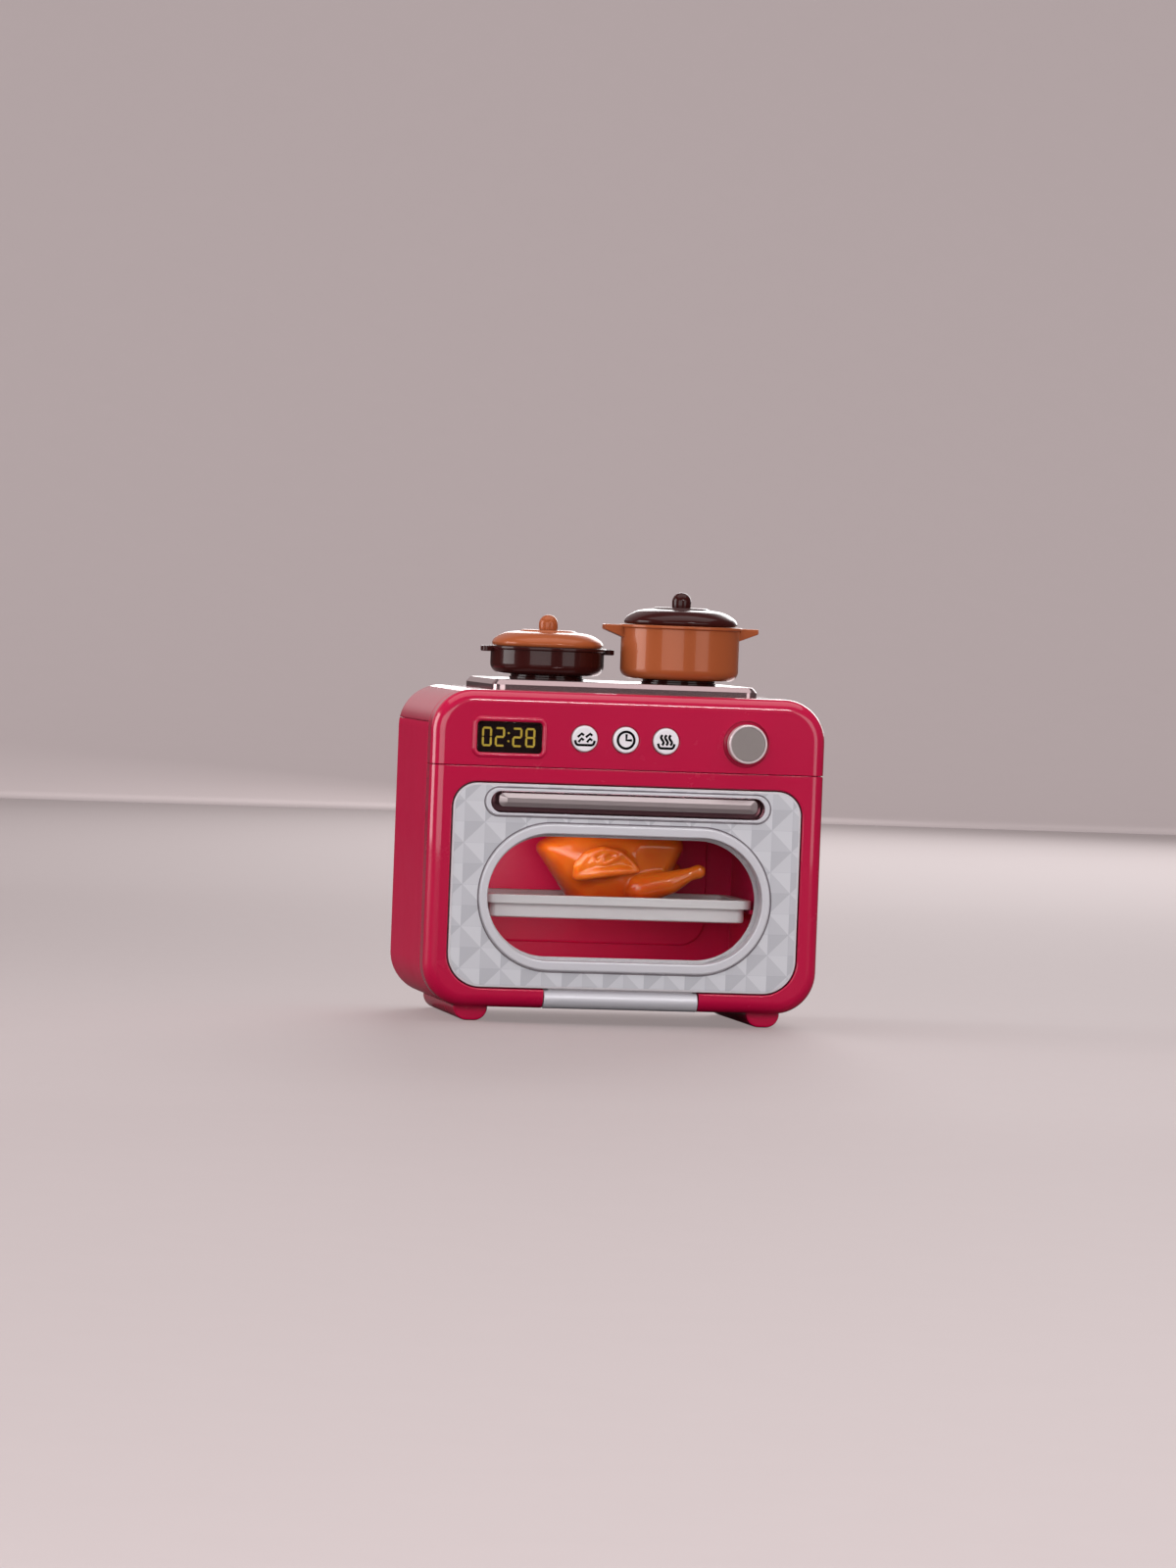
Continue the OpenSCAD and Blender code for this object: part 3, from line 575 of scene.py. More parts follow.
board = patterned("board_green", (26, 96, 54), (64, 140, 84), "ShaderNodeTexWave", 220, 0.35,
                  wave_type="BANDS", bands_direction="X")
cone_paper = patterned("cone_paper", (44, 40, 38), (70, 64, 60), "ShaderNodeTexNoise", 900, 0.9)
wrap = patterned("cell_wrap", (40, 70, 130), (190, 160, 60), "ShaderNodeTexWave", 9, 0.3, metal=0.3,
                 wave_type="BANDS", bands_direction="Z")
shaft_white = moulded_material("shaft_white", (200, 196, 188), rough=0.45, tone=0.1)
print("materials:", len(bpy.data.materials))

# %% [markdown]
# ## Shapes by loops and by turning
# A slab is a stack of rounded loops with its two ends closed. Each ring says
# how far it pulls in and how deep it lies, so a quarter round on the front is
# only a few more rings. A slab that pulls outwards makes a good cutter: it
# leaves an opening whose mouth is already rounded.

# %% Slabs, cutters and turned pieces


def slab(w, h, r_top, r_low, rings, cx=0.0, cz=0.0, segments=10):
    outlines = []
    for pull, y in rings:
        most = min(w, h) / 2 - pull - 0.02
        top, low = (max(0.02, min(r - pull, most)) for r in (r_top, r_low))
        outlines.append((w - 2 * pull, h - 2 * pull, top, low, y, cx, cz))
    return stack(outlines, segments)


def soft_front(y0, y1, r, steps=6):
    """Rings from the back y1 to the front y0, whose front edge is a quarter round."""
    return [(0, y1)] + [(i, y0 + d) for i, d in quarter(r, steps)]


def mouth(y0, y1, r, steps=4):
    """Rings for a cutter: an opening from the front y0 to y1 with a rounded lip."""
    lip = [(-i, y0 + d - 0.01) for i, d in reversed(quarter(r, steps))]
    return [(-r, y0 - 2)] + lip + [(0, y1)]


def keep_below(bm, at, along):
    """Cuts the closed solid at a plane, keeps the side behind it, and closes it."""
    every = bm.verts[:] + bm.edges[:] + bm.faces[:]
    cut = bmesh.ops.bisect_plane(bm, geom=every, plane_co=at, plane_no=along, clear_outer=True)
    rim = [e for e in cut["geom_cut"] if isinstance(e, bmesh.types.BMEdge)]
    bmesh.ops.contextual_create(bm, geom=rim)
    return rim


def score(bm, places):
    """Cuts upright lines into a solid's faces, so that no face has a hole in it later."""
    for x in places:
        every = bm.verts[:] + bm.edges[:] + bm.faces[:]
        bmesh.ops.bisect_plane(bm, geom=every, plane_co=(x, 0, 0), plane_no=(1, 0, 0))
    return bm


def lay(bm, top, cx, cy):
    """Lays a slab flat: its front becomes the top, at height top."""
    turn = Matrix(((1, 0, 0, 0), (0, 0, 1, 0), (0, -1, 0, 0), (0, 0, 0, 1)))
    return shift(bm, Matrix.Translation((cx, cy, top)) @ turn)


def revolve(outline, segments=96):
    """Turns an outline round the upright axis. Each point is radius, height and, if
    there is a third number, how much that corner is rounded."""
    bm = bmesh.new()
    points = [bm.verts.new((p[0], 0, p[1])) for p in outline]
    for a, b in zip(points, points[1:]):
        bm.edges.new((a, b))
    for point, p in zip(points, outline):
        if len(p) > 2:
            bevel(bm, [point], p[2], max(3, round(p[2] * 2 + 3)), "VERTICES")
    bmesh.ops.spin(bm, geom=bm.verts[:] + bm.edges[:], cent=(0, 0, 0), axis=(0, 0, 1), angle=math.tau,
                   steps=segments, use_merge=True, use_duplicate=False)
    bmesh.ops.remove_doubles(bm, verts=bm.verts, dist=1e-4)
    bmesh.ops.recalc_face_normals(bm, faces=bm.faces)
    return bm


def plug(r, low, high, segments):
    return revolve([(0, low), (r, low), (r, high), (0, high)], segments)


def at(bm, x, y, z):
    bmesh.ops.translate(bm, vec=(x, y, z), verts=bm.verts)
    return bm


def facing(bm, x, z):
    """Turns a revolved piece so that its heights become depths behind the front."""
    return shift(bm, Matrix.Translation((x, 0, z)) @ Matrix.Rotation(-math.pi / 2, 4, "X"))


def merge(*parts):
    """Several meshes as one, each still closed in itself."""
    whole = parts[0]
    for part in parts[1:]:
        mesh = bpy.data.meshes.new("merge")
        part.to_mesh(mesh)
        part.free()
        whole.from_mesh(mesh)
        bpy.data.meshes.remove(mesh)
    return whole


print("rings of a soft front:", len(soft_front(0, 8, 1)))

# %% [markdown]
# ## The body
# The body is four mouldings: a front frame, the control panel above it, and
# behind a curved seam the side shell and the top cover. Each starts as a
# closed slab, is cut at its seam, and is hollowed to a 2.5 mm wall.

# %% Front frame
BODY_W, BODY_H, BODY_R, WALL = 180, 142, 19, 2.5
MID = BODY_H / 2
DOOR = {"w": 159, "h": 91.3, "r_top": 11, "r_low": 15, "cz": 54.75}
GAP = 0.6


def body_block(rings, pull=0.0, segments=14):
    return slab(BODY_W - 2 * pull, BODY_H - 2 * pull, BODY_R - pull, BODY_R - pull, rings, 0, MID, segments)


def front_block():
    return body_block([(0.35, 13.85), (0, 13.5)] + soft_front(0, 13.35, 6, 9)[1:])


def front_hollow(z, side):
    """The room inside the front block, below height z (side 1) or above it (side -1)."""
    hollow = body_block([(0, 20)] + soft_front(WALL, 14, 3.5, 5), WALL, 12)
    keep_below(hollow, (0, 0, z), (0, 0, side))
    return hollow


def cut_seam(bm, z, side):
    """Keeps what is below height z (side 1) or above it (side -1), with a soft edge."""
    bevel(bm, keep_below(bm, (0, 0, z), (0, 0, side)), 0.3)
    return bm


def door_cutter(grow, rings):
    return slab(DOOR["w"] + 2 * grow, DOOR["h"] + 2 * grow, DOOR["r_top"] + grow, DOOR["r_low"] + grow, rings,
                0, DOOR["cz"], 12)


hollow = cut_away(front_hollow(105.4, 1), [
    door_cutter(GAP + 2, [(0, -3), (0, 12)]), block(-80, 80, -3, 12, -1, 9.1),
    block(-84, 84, 12, 25, -1, 4.5)])
frame_bm = cut_away(score(cut_seam(front_block(), 107.87, 1), [0]), [
    hollow, door_cutter(GAP, mouth(0, 12.6, 0.7)), block(-35.55, 35.55, -2, 10.6, -2, 12)])
finish(frame_bm, "front_frame_skin", "housing", pink, "pink_plastic", replaces=["front_frame"])

# %% [markdown]
# The control panel has four kinds of opening: a window for the clock, three
# ringed seats for the buttons, and a shallow dish for the knob. The clock's
# surround is a raised ring that stands off the panel.

# %% Control panel and clock surround
CONTROL_Z, KNOB_X, CLOCK = 121.5, 52.9, (-55.15, 121.0)
BUTTONS = {"wave": -21.2, "clock": -2.4, "steam": 16.0}


def seat(radius, y0, y1, lip, x, segments=64):
    """A round cutter from the front down to y1 with a soft lip."""
    curve = [(radius + i, y0 + d - 0.01) for i, d in reversed(quarter(lip, 4))]
    outline = [(0, y0 - 2), (radius + lip, y0 - 2)] + curve
    return facing(revolve(outline + [(radius, y1), (0, y1)], segments), x, CONTROL_Z)


panel_bm = front_block()
bmesh.ops.scale(panel_bm, vec=(1, 1, -1), space=Matrix.Translation((0, 0, -MID)), verts=panel_bm.verts)
bmesh.ops.reverse_faces(panel_bm, faces=panel_bm.faces)
cut_seam(panel_bm, 108.13, -1)
hollow = cut_away(front_hollow(110.6, -1), [facing(plug(13, 1, 4, 48), KNOB_X, CONTROL_Z)])
cutters = [hollow, slab(30.2, 14.6, 2.4, 2.4, [(0, -2), (0, 9)], *CLOCK),
           seat(10.4, 0, 1.3, 0.45, KNOB_X, 96), facing(plug(3.2, -3, 9, 32), KNOB_X, CONTROL_Z)]
for x in BUTTONS.values():
    cutters += [seat(6.5, 0, 0.7, 0.3, x), facing(plug(6.05, -3, 9, 64), x, CONTROL_Z)]
panel_bm = cut_away(score(panel_bm, [*BUTTONS.values(), KNOB_X, CLOCK[0]]), cutters)
finish(panel_bm, "control_panel_skin", "housing", pink, "pink_plastic", replaces=["control_panel"])

rings = [(0, 1.5), (0, 0.1), (0.1, -0.3), (0.38, -0.6), (0.8, -0.76), (1.2, -0.8), (1.62, -0.74),
         (2.0, -0.52), (2.2, -0.15), (2.25, 0.3), (2.25, 1.5)]
ring_bm = stack([(34 - 2 * i, 18.4 - 2 * i, 4 - i, 4 - i, y, *CLOCK) for i, y in rings], 8, "joined")
finish(ring_bm, "clock_surround", "housing", pink, "pink_plastic")

# %% [markdown]
# Behind the seam, the side shell and the top cover are one rounded block cut
# at the cover's seam. Sockets for the back screws, the battery door, and the
# loudspeaker's slots go right through the back wall.

# %% Side shell and top cover
rear_rings = [(0.35, 14.12), (0, 14.47), (0, 96)] + [(i, 100 - d) for i, d in quarter(4, 7)][1:]
inner_rings = [(0, 10), (0, 96)] + [(i, 97.5 - d) for i, d in quarter(1.5, 3)]
SCREW_X, SCREW_Z, GRILLE = 78, (24, 112), 58
cutters = [body_block(inner_rings, WALL), block(-68, 68, 22, 90, -2, 3.2),
           slab(60, 64, 3, 3, [(0.4, 105), (0.4, 100.0), (0, 99.6), (0, 94)], -8, 58)]
for side in (-1, 1):
    for z in SCREW_Z:
        cutters.append(at(facing(plug(2.2, -1, 3, 32), side * SCREW_X, z), 0, 98, 0))
for i in range(-3, 4):
    cutters.append(slab(24 - 4 * abs(i), 1.6, 0.8, 0.8, [(0, 105), (0, 94)], GRILLE, GRILLE + 4 * i, 5))
shell_bm = score(cut_seam(body_block(rear_rings), 126.38, 1), [-SCREW_X, -8, GRILLE, SCREW_X])
shell_bm = cut_away(shell_bm, cutters)
posts = [post(side * SCREW_X, z, 3.4, 60, 97.6, 32) for side in (-1, 1) for z in SCREW_Z]
finish(merge(shell_bm, *posts), "side_shell_skin", "housing", pink_side, "pink_plastic",
       replaces=["side_shell"])

cover_bm = cut_away(cut_seam(body_block(rear_rings), 126.62, -1), [body_block(inner_rings, WALL)])
finish(cover_bm, "top_cover_skin", "housing", pink, "pink_plastic", replaces=["top_cover"])

# %% Feet: two runners, half round across
feet = []
for sx in (-1, 1):
    ends = [(1.2, 92), (0.35, 91.65), (0, 90.8), (0, 9.2), (0.35, 8.35), (1.2, 8)]
    runner = slab(15.6, 12.4, 6.15, 6.15, ends, sx * 67, -0.3)
    keep_below(runner, (0, 0, -0.01), (0, 0, 1))
    feet.append(runner)
finish(merge(*feet), "foot_runners", "housing", pink, "pink_plastic", replaces=["feet"])

# %% [markdown]
# ## The cooking cavity
# A thin liner with soft corners, open to the front, and an embossed back
# panel. Its flange is the flat shelf that shows round the open doorway.

# %% Cavity liner and embossed back
CAVITY = (0, 53.5)


def cavity_outline(grow, y):
    return (128 + 2 * grow, 83 + 2 * grow, 10 + grow, 10 + grow, y, *CAVITY)


def shelf_outline(y):
    grow = GAP + 2
    return (DOOR["w"] + 2 * grow, DOOR["h"] + 2 * grow, DOOR["r_top"] + grow, DOOR["r_low"] + grow, y,
            0, DOOR["cz"])


liner_bm = stack([shelf_outline(10), cavity_outline(0.6, 10), cavity_outline(0.18, 10.18),
                               cavity_outline(0, 10.6), cavity_outline(0, 73), cavity_outline(1.5, 73),
                               cavity_outline(1.5, 11.5), shelf_outline(11.5)], 12, "joined")
finish(liner_bm, "cavity_liner_skin", "housing", pink_lit_inside, "pink_plastic", replaces=["cavity_liner"])

back_bm = slab(131, 86, 11.5, 11.5, [(0, 74.5), (0, 73)], *CAVITY, 12)
raised = slab(104, 60, 12, 12, [(0, 73.1)] + [(i, 71.2 + d) for i, d in quarter(1.2, 5)], 0, 56, 12)
finish(merge(back_bm, raised), "cavity_back_skin", "housing", pink_lit_inside, "pink_plastic",
       replaces=["cavity_back"])
print("cavity runs back to y = 73")

# %% [markdown]
# ## The hob
# A bright plate with a broad chamfer round its top. Its rounded corners turn
# dark where they mirror the room. Two ring burners stand on it.

# %% Hob plate and burners
HOB_TOP, HOB_Y = 146.6, 53.0
PAN, POT = (-28, 63), (29.5, 43)
hob_bm = slab(122, 77, 6, 6, [(0, 4.6), (0, 2.3), (0.14, 2.02), (1.86, 0.14), (2.2, 0)], segments=10)
hob_bm = lay(hob_bm, HOB_TOP, 0, HOB_Y)
under = lay(slab(118, 73, 4.5, 4.5, [(0, 9), (0, 1.6)], segments=8), HOB_TOP, 0, HOB_Y)
hob_bm = cut_away(hob_bm, [under])
finish(hob_bm, "hob_plate_skin", "housing", hob_chrome, "chrome_trim", crease=22, replaces=["hob_plate"])

for name, (x, y) in (("left_burner", PAN), ("right_burner", POT)):
    ring = revolve([(0, 0), (17, 0, 0.15), (17, 1.0, 0.2), (16.4, 1.1, 0.1), (16.4, 2.2, 0.45),
                    (10.5, 2.2, 0.4), (10.5, 1, 0.2), (0, 1)])
    finish(at(ring, x, y, HOB_TOP), name + "_ring", "housing", cocoa, "dark_enamel", replaces=[name])

# %% [markdown]
# ## Pan, pot and lids
# Turned outlines with rounded corners. The lids have a broad soft shoulder, a
# gentle dome and a low disc, under a thimble-shaped knob.

# %% Vessels
RIM_Z = HOB_TOP + 2.2


def vessel(r, h):
    wall, inner = r - 1.1, r - 2.5
    return [(0, 0), (wall, 0, 4.6), (wall, h - 1.5, 0.25), (r, h - 1.3, 0.3), (r, h, 0.35), (inner, h, 0.5),
            (inner, 1.4, 3.4), (0, 1.4)]


def lid(r, h):
    return [(0, h * 0.55), (r * 0.5, h * 0.55, 1), (r - 3.4, h * 0.3, 0.8), (r - 3.4, 0, 0.3),
            (r - 0.5, 0, 0.3), (r, 0.9, 0.5), (r - 0.1, 2.2, 1.2), (r - 2.3, 4.7, 3.5),
            (r - 8.0, h - 1.0, 6.0), (12.9, h - 0.8, 0.3), (12.1, h - 0.1, 0.5), (10.6, h, 0.6), (0, h)]


def thimble():
    return revolve([(0, 0), (4.2, 0, 0.15), (4.3, 1.2, 0.3), (4.35, 6.95, 4.2), (0, 6.95)], 64)


def finish_set(name, place, vessel_bm, height, lid_r, lid_h, skin, lid_skin):
    finish(vessel_bm, f"{name}_shell", name, *skin, replaces=[name])
    top = RIM_Z + height + 0.1
    for bm, z, end, old in ((revolve(lid(lid_r, lid_h), 128), top, "shell", "lid"),
                            (thimble(), top + lid_h, "thimble", "lid_knob")):
        finish(at(bm, *place, z), f"{name}_lid_{end}", f"{name}_lid", *lid_skin, replaces=[f"{name}_{old}"])


PAN_R, PAN_H, POT_R, POT_H, LID_H = 27, 12.5, 28, 24.5, 7.7
COCOA, COPPER = (cocoa, "dark_enamel"), (copper, "copper_enamel")
pan_bm = at(revolve(vessel(PAN_R, PAN_H), 128), *PAN, RIM_Z)
grips = []
for s in (-1, 1):
    grip = slab(6.2, 9, 2, 2, [(0.35, 2.5), (0, 2.15), (0, 0.35), (0.12, 0.12), (0.35, 0)], segments=6)
    lay(grip, RIM_Z + PAN_H - 0.2, PAN[0] + s * (PAN_R + 0.4), PAN[1])
    grips.append(cut_away(grip, [at(plug(PAN_R - 1.8, 2, 30, 96), *PAN, RIM_Z)]))
finish_set("pan", PAN, merge(pan_bm, *grips), PAN_H, PAN_R - 1.6, LID_H, COCOA, COPPER)

pot_bm = at(revolve(vessel(POT_R, POT_H), 128), *POT, RIM_Z)
wedges = []
for s in (-1, 1):
    wedge = block(POT_R - 2, POT_R + 7.7, -3.5, 3.5, POT_H - 6.4, POT_H - 0.3)
    for v in wedge.verts:
        if v.co.x > POT_R and v.co.z < POT_H - 3:
            v.co.z = POT_H - 2.6
    soften(wedge, 0.45)
    shift(wedge, Matrix.Translation((*POT, RIM_Z)) @ Matrix.Diagonal((s, 1, 1, 1)))
    wedges.append(cut_away(wedge, [at(plug(POT_R - 1.9, 2, 30, 96), *POT, RIM_Z)]))
finish_set("pot", POT, merge(pot_bm, *wedges), POT_H, POT_R - 2.2, LID_H + 0.4, COPPER, COCOA)

# %% [markdown]
# ## Buttons, knob and clock
# The button caps are flat white discs with a printed icon. The icons are thin ink
# strokes, laid on the cap as flattened tubes.

# %% Ink strokes


def stroke(points, width, y):
    """A flat line of ink through points (x, z) at depth y."""
    curve = bpy.data.curves.new("stroke", "CURVE")
    curve.dimensions = "3D"
    curve.bevel_depth, curve.bevel_resolution, curve.use_fill_caps = width / 2, 2, True
    line = curve.splines.new("POLY")
    line.points.add(len(points) - 1)
    for point, (x, z) in zip(line.points, points):
        point.co = (x, 0, z, 1)
    holder = new_object("stroke", curve)
    mesh = holder.evaluated_get(bpy.context.evaluated_depsgraph_get()).to_mesh()
    bm = bmesh.new()
    bm.from_mesh(mesh)
    holder.to_mesh_clear()
    bpy.data.objects.remove(holder)
    bpy.data.curves.remove(curve)
    shift(bm, Matrix.Translation((0, y, 0)) @ Matrix.Diagonal((1, 0.12, 1, 1)))
    return bm


def arc(cx, cz, r, a0, a1, steps=24):
    turns = [math.radians(a0 + (a1 - a0) * i / steps) for i in range(steps + 1)]
    return [(cx + r * math.cos(t), cz + r * math.sin(t)) for t in turns]


def dish(x, half, low, z):
    """The bowl under an icon: a bar whose two ends turn up."""
    left = arc(x - half + 1.3, z + low + 1.3, 1.3, 190, 270, 6)
    right = arc(x + half - 1.3, z + low + 1.3, 1.3, 270, 350, 6)
    return [(x - half - 0.3, z + low + 2.1)] + left + right + [(x + half + 0.3, z + low + 2.1)]


def icon(kind, x, z):
    if kind == "clock":
        return [arc(x, z, 3.75, 0, 360, 48), [(x + 0.1, z + 2.7), (x + 0.1, z), (x + 2.7, z)]]
    if kind == "wave":
        lines = [dish(x, 4.2, -2.8, z)]
        for left, peak, lift in ((-3.3, -1.5, 0.7), (0.4, 2.3, 0.7), (-2.9, -1.5, -1.5), (1.0, 2.3, -1.5)):
            top, end = (x + peak, z + lift + 1.65), (x + peak + 0.95, z + lift + 0.8)
            lines.append([(x + left, z + lift), top, end])
        return lines
    lines = [dish(x, 3.5, -3.1, z)]
    for u in (-1.9, 0.0, 1.9):
        turns = [t / 14 for t in range(15)]
        lines.append([(x + u - 0.6 * math.sin(t * math.tau), z + 2.9 - 4.6 * t) for t in turns])
    return lines


for kind, x in BUTTONS.items():
    cap_bm = revolve([(0, -1), (5.85, -1, 0.75), (5.85, 2.9, 0.1), (7, 2.9, 0.2), (7, 4.1, 0.2),
                      (1.5, 4.1, 0.1), (1.5, 9, 0.2), (0, 9)], 64)
    finish(facing(cap_bm, x, CONTROL_Z), f"button_{kind}_cap", f"button_{kind}", cap_white, "white_plastic",
           replaces=[f"button_{kind}"])
    ink_bm = merge(*[stroke(points, 1.12, -1.05) for points in icon(kind, x, CONTROL_Z)])
    finish(ink_bm, f"button_{kind}_icon", f"button_{kind}", ink, "black_plastic", recalc=False, even=False)

# %% Knob
ring = revolve([(7.8, -4.0), (7.8, -4.5, 0.08), (8.5, -4.5, 0.15), (8.8, -4.1, 0.2), (8.8, 0.2, 0.1),
                (7.8, 0.2), (7.8, -4.0)])
finish(facing(ring, KNOB_X, CONTROL_Z), "knob_ring_turned", "knob", ring_bright, "chrome_trim", crease=25,
       replaces=["knob_ring"])
disc = revolve([(0, -4.2), (7.75, -4.2, 0.2), (7.75, 0.6, 0.1), (0, 0.6)])
finish(facing(disc, KNOB_X, CONTROL_Z), "knob_disc_face", "knob", brushed, "silver_plastic",
       replaces=["knob_disc"])

# %% [markdown]
# The clock is a black card with seven-bar digits, behind a dark clear lens.

# %% Clock card, digits and lens
cx, cz = CLOCK
finish(slab(32.1, 15.6, 1.5, 1.5, [(0, 4.3), (0, 3.5)], cx, cz, 5), "clock_card", "housing", card_black,
       "black_plastic", replaces=["display_card"])
BARS = {"0": "1110111", "2": "1011101", "8": "1111111"}
BAR_PLACES = ((0, 3.9), (-1.8, 1.95), (1.8, 1.95), (0, 0), (-1.8, -1.95), (1.8, -1.95), (0, -3.9))
digits = []
for digit, dx in zip("0228", (-9.8, -3.9, 4.0, 9.9)):
    for (x, z), on in zip(BAR_PLACES, BARS[digit]):
        if on == "1":
            w, h = (0.9, 3.5) if x else (3.5, 0.9)
            digits.append(slab(w, h, 0.42, 0.42, [(0, 3.5), (0, 3.28), (0.06, 3.2)], cx + dx + x, cz + z, 3))
digits += [slab(0.9, 0.9, 0.42, 0.42, [(0, 3.5), (0, 3.2)], cx, cz + z, 4) for z in (-1.8, 1.8)]
finish(merge(*digits), "clock_digits", "housing", digit_yellow, "digit_yellow", replaces=["display_digits"])
lens = slab(29.4, 13.8, 2.0, 2.0, [(0, 3.0)] + soft_front(0.3, 2.8, 0.5, 4)[1:], cx, cz, 6)
finish(lens, "clock_lens", "housing", smoked, "smoked_lens", replaces=["display_lens"])

# %% [markdown]
# ## The door
# A shallow moulded panel with a printed film on its front, a satin ring round
# the window, a sunk handle cup with a bevelled bar, and the hinge barrel.

# %% Door panel and film
WINDOW, WINDOW_W, WINDOW_H, HANDLE_Z, HINGE = (0, 50), 125.5, 57, 92.2, 4.35
panel = door_cutter(0, soft_front(0.3, 8, 0.45, 4))
inside_panel = door_cutter(-1.8, [(0, 12), (0, 2.5)])
holes = [slab(WINDOW_W + 3.8, WINDOW_H + 3.8, 40, 40, [(0, -2), (0, 12)], *WINDOW, 16),
         slab(126.4, 10.9, 5.4, 5.4, [(0, -2), (0, 12)], 0, HANDLE_Z, 10)]
panel = cut_away(score(panel, [0]), [inside_panel, *holes, block(-36, 36, -1, 6.2, 0, 9.0)])
web = block(-33, 33, 2.6, 6.2, 7.6, 11)
barrel_room = post(0, 0, 4.30, -40, 40, 64)
shift(barrel_room, Matrix.Translation((0, HINGE, HINGE)) @ Matrix.Rotation(math.pi / 2, 4, "Z"))
web = cut_away(web, [barrel_room])
finish(merge(panel, web), "door_panel_skin", "door", white_gloss, "white_plastic", replaces=["door_panel"])

film = door_cutter(-1, [(0, 0.3), (0, 0.12), (0.02, 0.1)])
film = cut_away(score(film, [0]), [slab(133.4, 66.4, 33.1, 33.1, [(0, -2), (0, 2)], *WINDOW, 16),
                       slab(130.2, 12.5, 6.2, 6.2, [(0, -2), (0, 2)], 0, HANDLE_Z, 10)])
finish(film, "facet_film_print", "door", facets, "print_film", replaces=["facet_film"])

# %% Window ring
section = [(0, 6.5), (0, -0.55), (0.1, -0.8), (0.35, -0.97), (0.6, -1.0), (2.9, -1.0), (3.35, -0.9),
           (3.65, -0.6), (3.75, -0.2), (3.75, 0.3), (1.8, 0.3), (1.8, 6.5)]
outlines = []
for grow, y in section:
    tall = WINDOW_H + 2 * grow * (1.2 if y < 0.31 else 1)
    outlines.append((WINDOW_W + 2 * grow, tall, tall / 2 - 0.02, tall / 2 - 0.02, y, *WINDOW))
bezel_bm = stack(outlines, 24, "joined")
finish(bezel_bm, "window_ring", "door", silver, "silver_plastic", crease=40, replaces=["window_bezel"])

# %% [markdown]
# The handle cup is bright inside, so it mirrors the pink frame and the bar; its pink tint adds a painted pink
# reflection.
# The bar has a flat front and a bevel all round, wider at its two ends.

# %% Handle cup, its rim, and the bar


def cup_outline(w, h, y):
    return (w, h, h / 2 - 0.02, h / 2 - 0.02, y, 0, HANDLE_Z)


cup_bm = stack([cup_outline(*bit) for bit in (
    (126.2, 10.7, 7.6), (126.2, 10.7, 0.3), (126.0, 10.5, -0.2), (125.2, 9.7, -0.3), (125.0, 9.5, 0.1),
    (125.0, 9.5, 5.6), (124.6, 9.1, 6.3), (123.8, 8.3, 6.6))], 12)
finish(cup_bm, "handle_cup_shell", "door", cup_chrome, "chrome_trim", replaces=["handle_cup"])
rim_bm = stack([cup_outline(*bit) for bit in (
    (129.8, 12.1, 0.3), (129.8, 12.1, -0.1), (129.5, 11.8, -0.4), (128.9, 11.2, -0.5), (126.4, 10.4, -0.5),
    (125.5, 10.0, -0.42), (125.1, 9.6, -0.2), (125.1, 9.6, 0.3))], 12, "joined")
finish(rim_bm, "handle_cup_rim", "door", silver, "silver_plastic")

bar_bm = slab(118, 6.1, 2.2, 2.2, [(0.5, 1.0), (0.15, 0.8), (0, 0.3), (0, -0.9), (0.06, -1.02), (1.95, -2.70),
                                   (2.07, -2.8)], 0, 93.15, 5)
for v in bar_bm.verts:
    if v.co.y < -2.5:
        v.co.x -= math.copysign(1.4, v.co.x)
legs = [block(s * 50 - 3, s * 50 + 3, 0.5, 6.6, 90.95, 95.35) for s in (-1, 1)]
finish(merge(bar_bm, *legs), "handle_bar_bevelled", "door", bar_chrome, "chrome_trim", crease=20,
       replaces=["handle_bar"])

# %% Hinge barrel
barrel = revolve([(0, -35.15), (HINGE, -35.15, 0.35), (HINGE, 35.15, 0.35), (0, 35.15)], 72)
shift(barrel, Matrix.Translation((0, HINGE, HINGE)) @ Matrix.Rotation(math.pi / 2, 4, "Y"))
finish(barrel, "hinge_barrel_turned", "door", silver, "silver_plastic", replaces=["hinge_barrel"])

# %% [markdown]
# ## Tray and roast
# The tray is one pressed shape with an upright rim. The roast is modelled
# like clay: lumps and limbs pushed together, melted into one skin by a voxel
# remesh, then smoothed.

# %% Tray
TRAY_Y = 41.5
outer = [(5.2, 10.6), (4.0, 10.5), (3.25, 10.1), (3.0, 9.4), (3.0, 4.1), (2.8, 3.9)]
inner = [(0, 3.9), (0, 0.5), (0.15, 0.15), (0.5, 0), (3.7, 0), (4.05, 0.15), (4.2, 0.5), (4.2, 8.2),
         (4.6, 9.2), (5.2, 9.4)]
tray_bm = stack([(124 - 2 * i, 56 - 2 * i, 5.6 - i * 0.6, 5.6 - i * 0.6, d, 0, 0)
                              for i, d in outer + inner], 8)
finish(lay(tray_bm, 50.3, 0, TRAY_Y), "tray_pressed", "tray", tray_silver, "tray_silver", crease=35,
       replaces=["tray"])

# %% Roast


def lump(bm, centre, radii, tilt=0.0):
    turned = Matrix.Translation(centre) @ Matrix.Rotation(math.radians(tilt), 4, "Y")
    place_it = turned @ Matrix.Diagonal((*radii, 1))
    bmesh.ops.create_icosphere(bm, subdivisions=4, radius=1, matrix=place_it)


def limb(bm, path, steps=14):
    """Overlapping balls along a path of (x, y, z, radius)."""
    for a, b in zip(path, path[1:]):
        for i in range(steps + 1):
            t = i / steps
            p = [u + (v - u) * t for u, v in zip(a, b)]
            bmesh.ops.create_icosphere(bm, subdivisions=3, radius=p[3], matrix=Matrix.Translation(p[:3]))


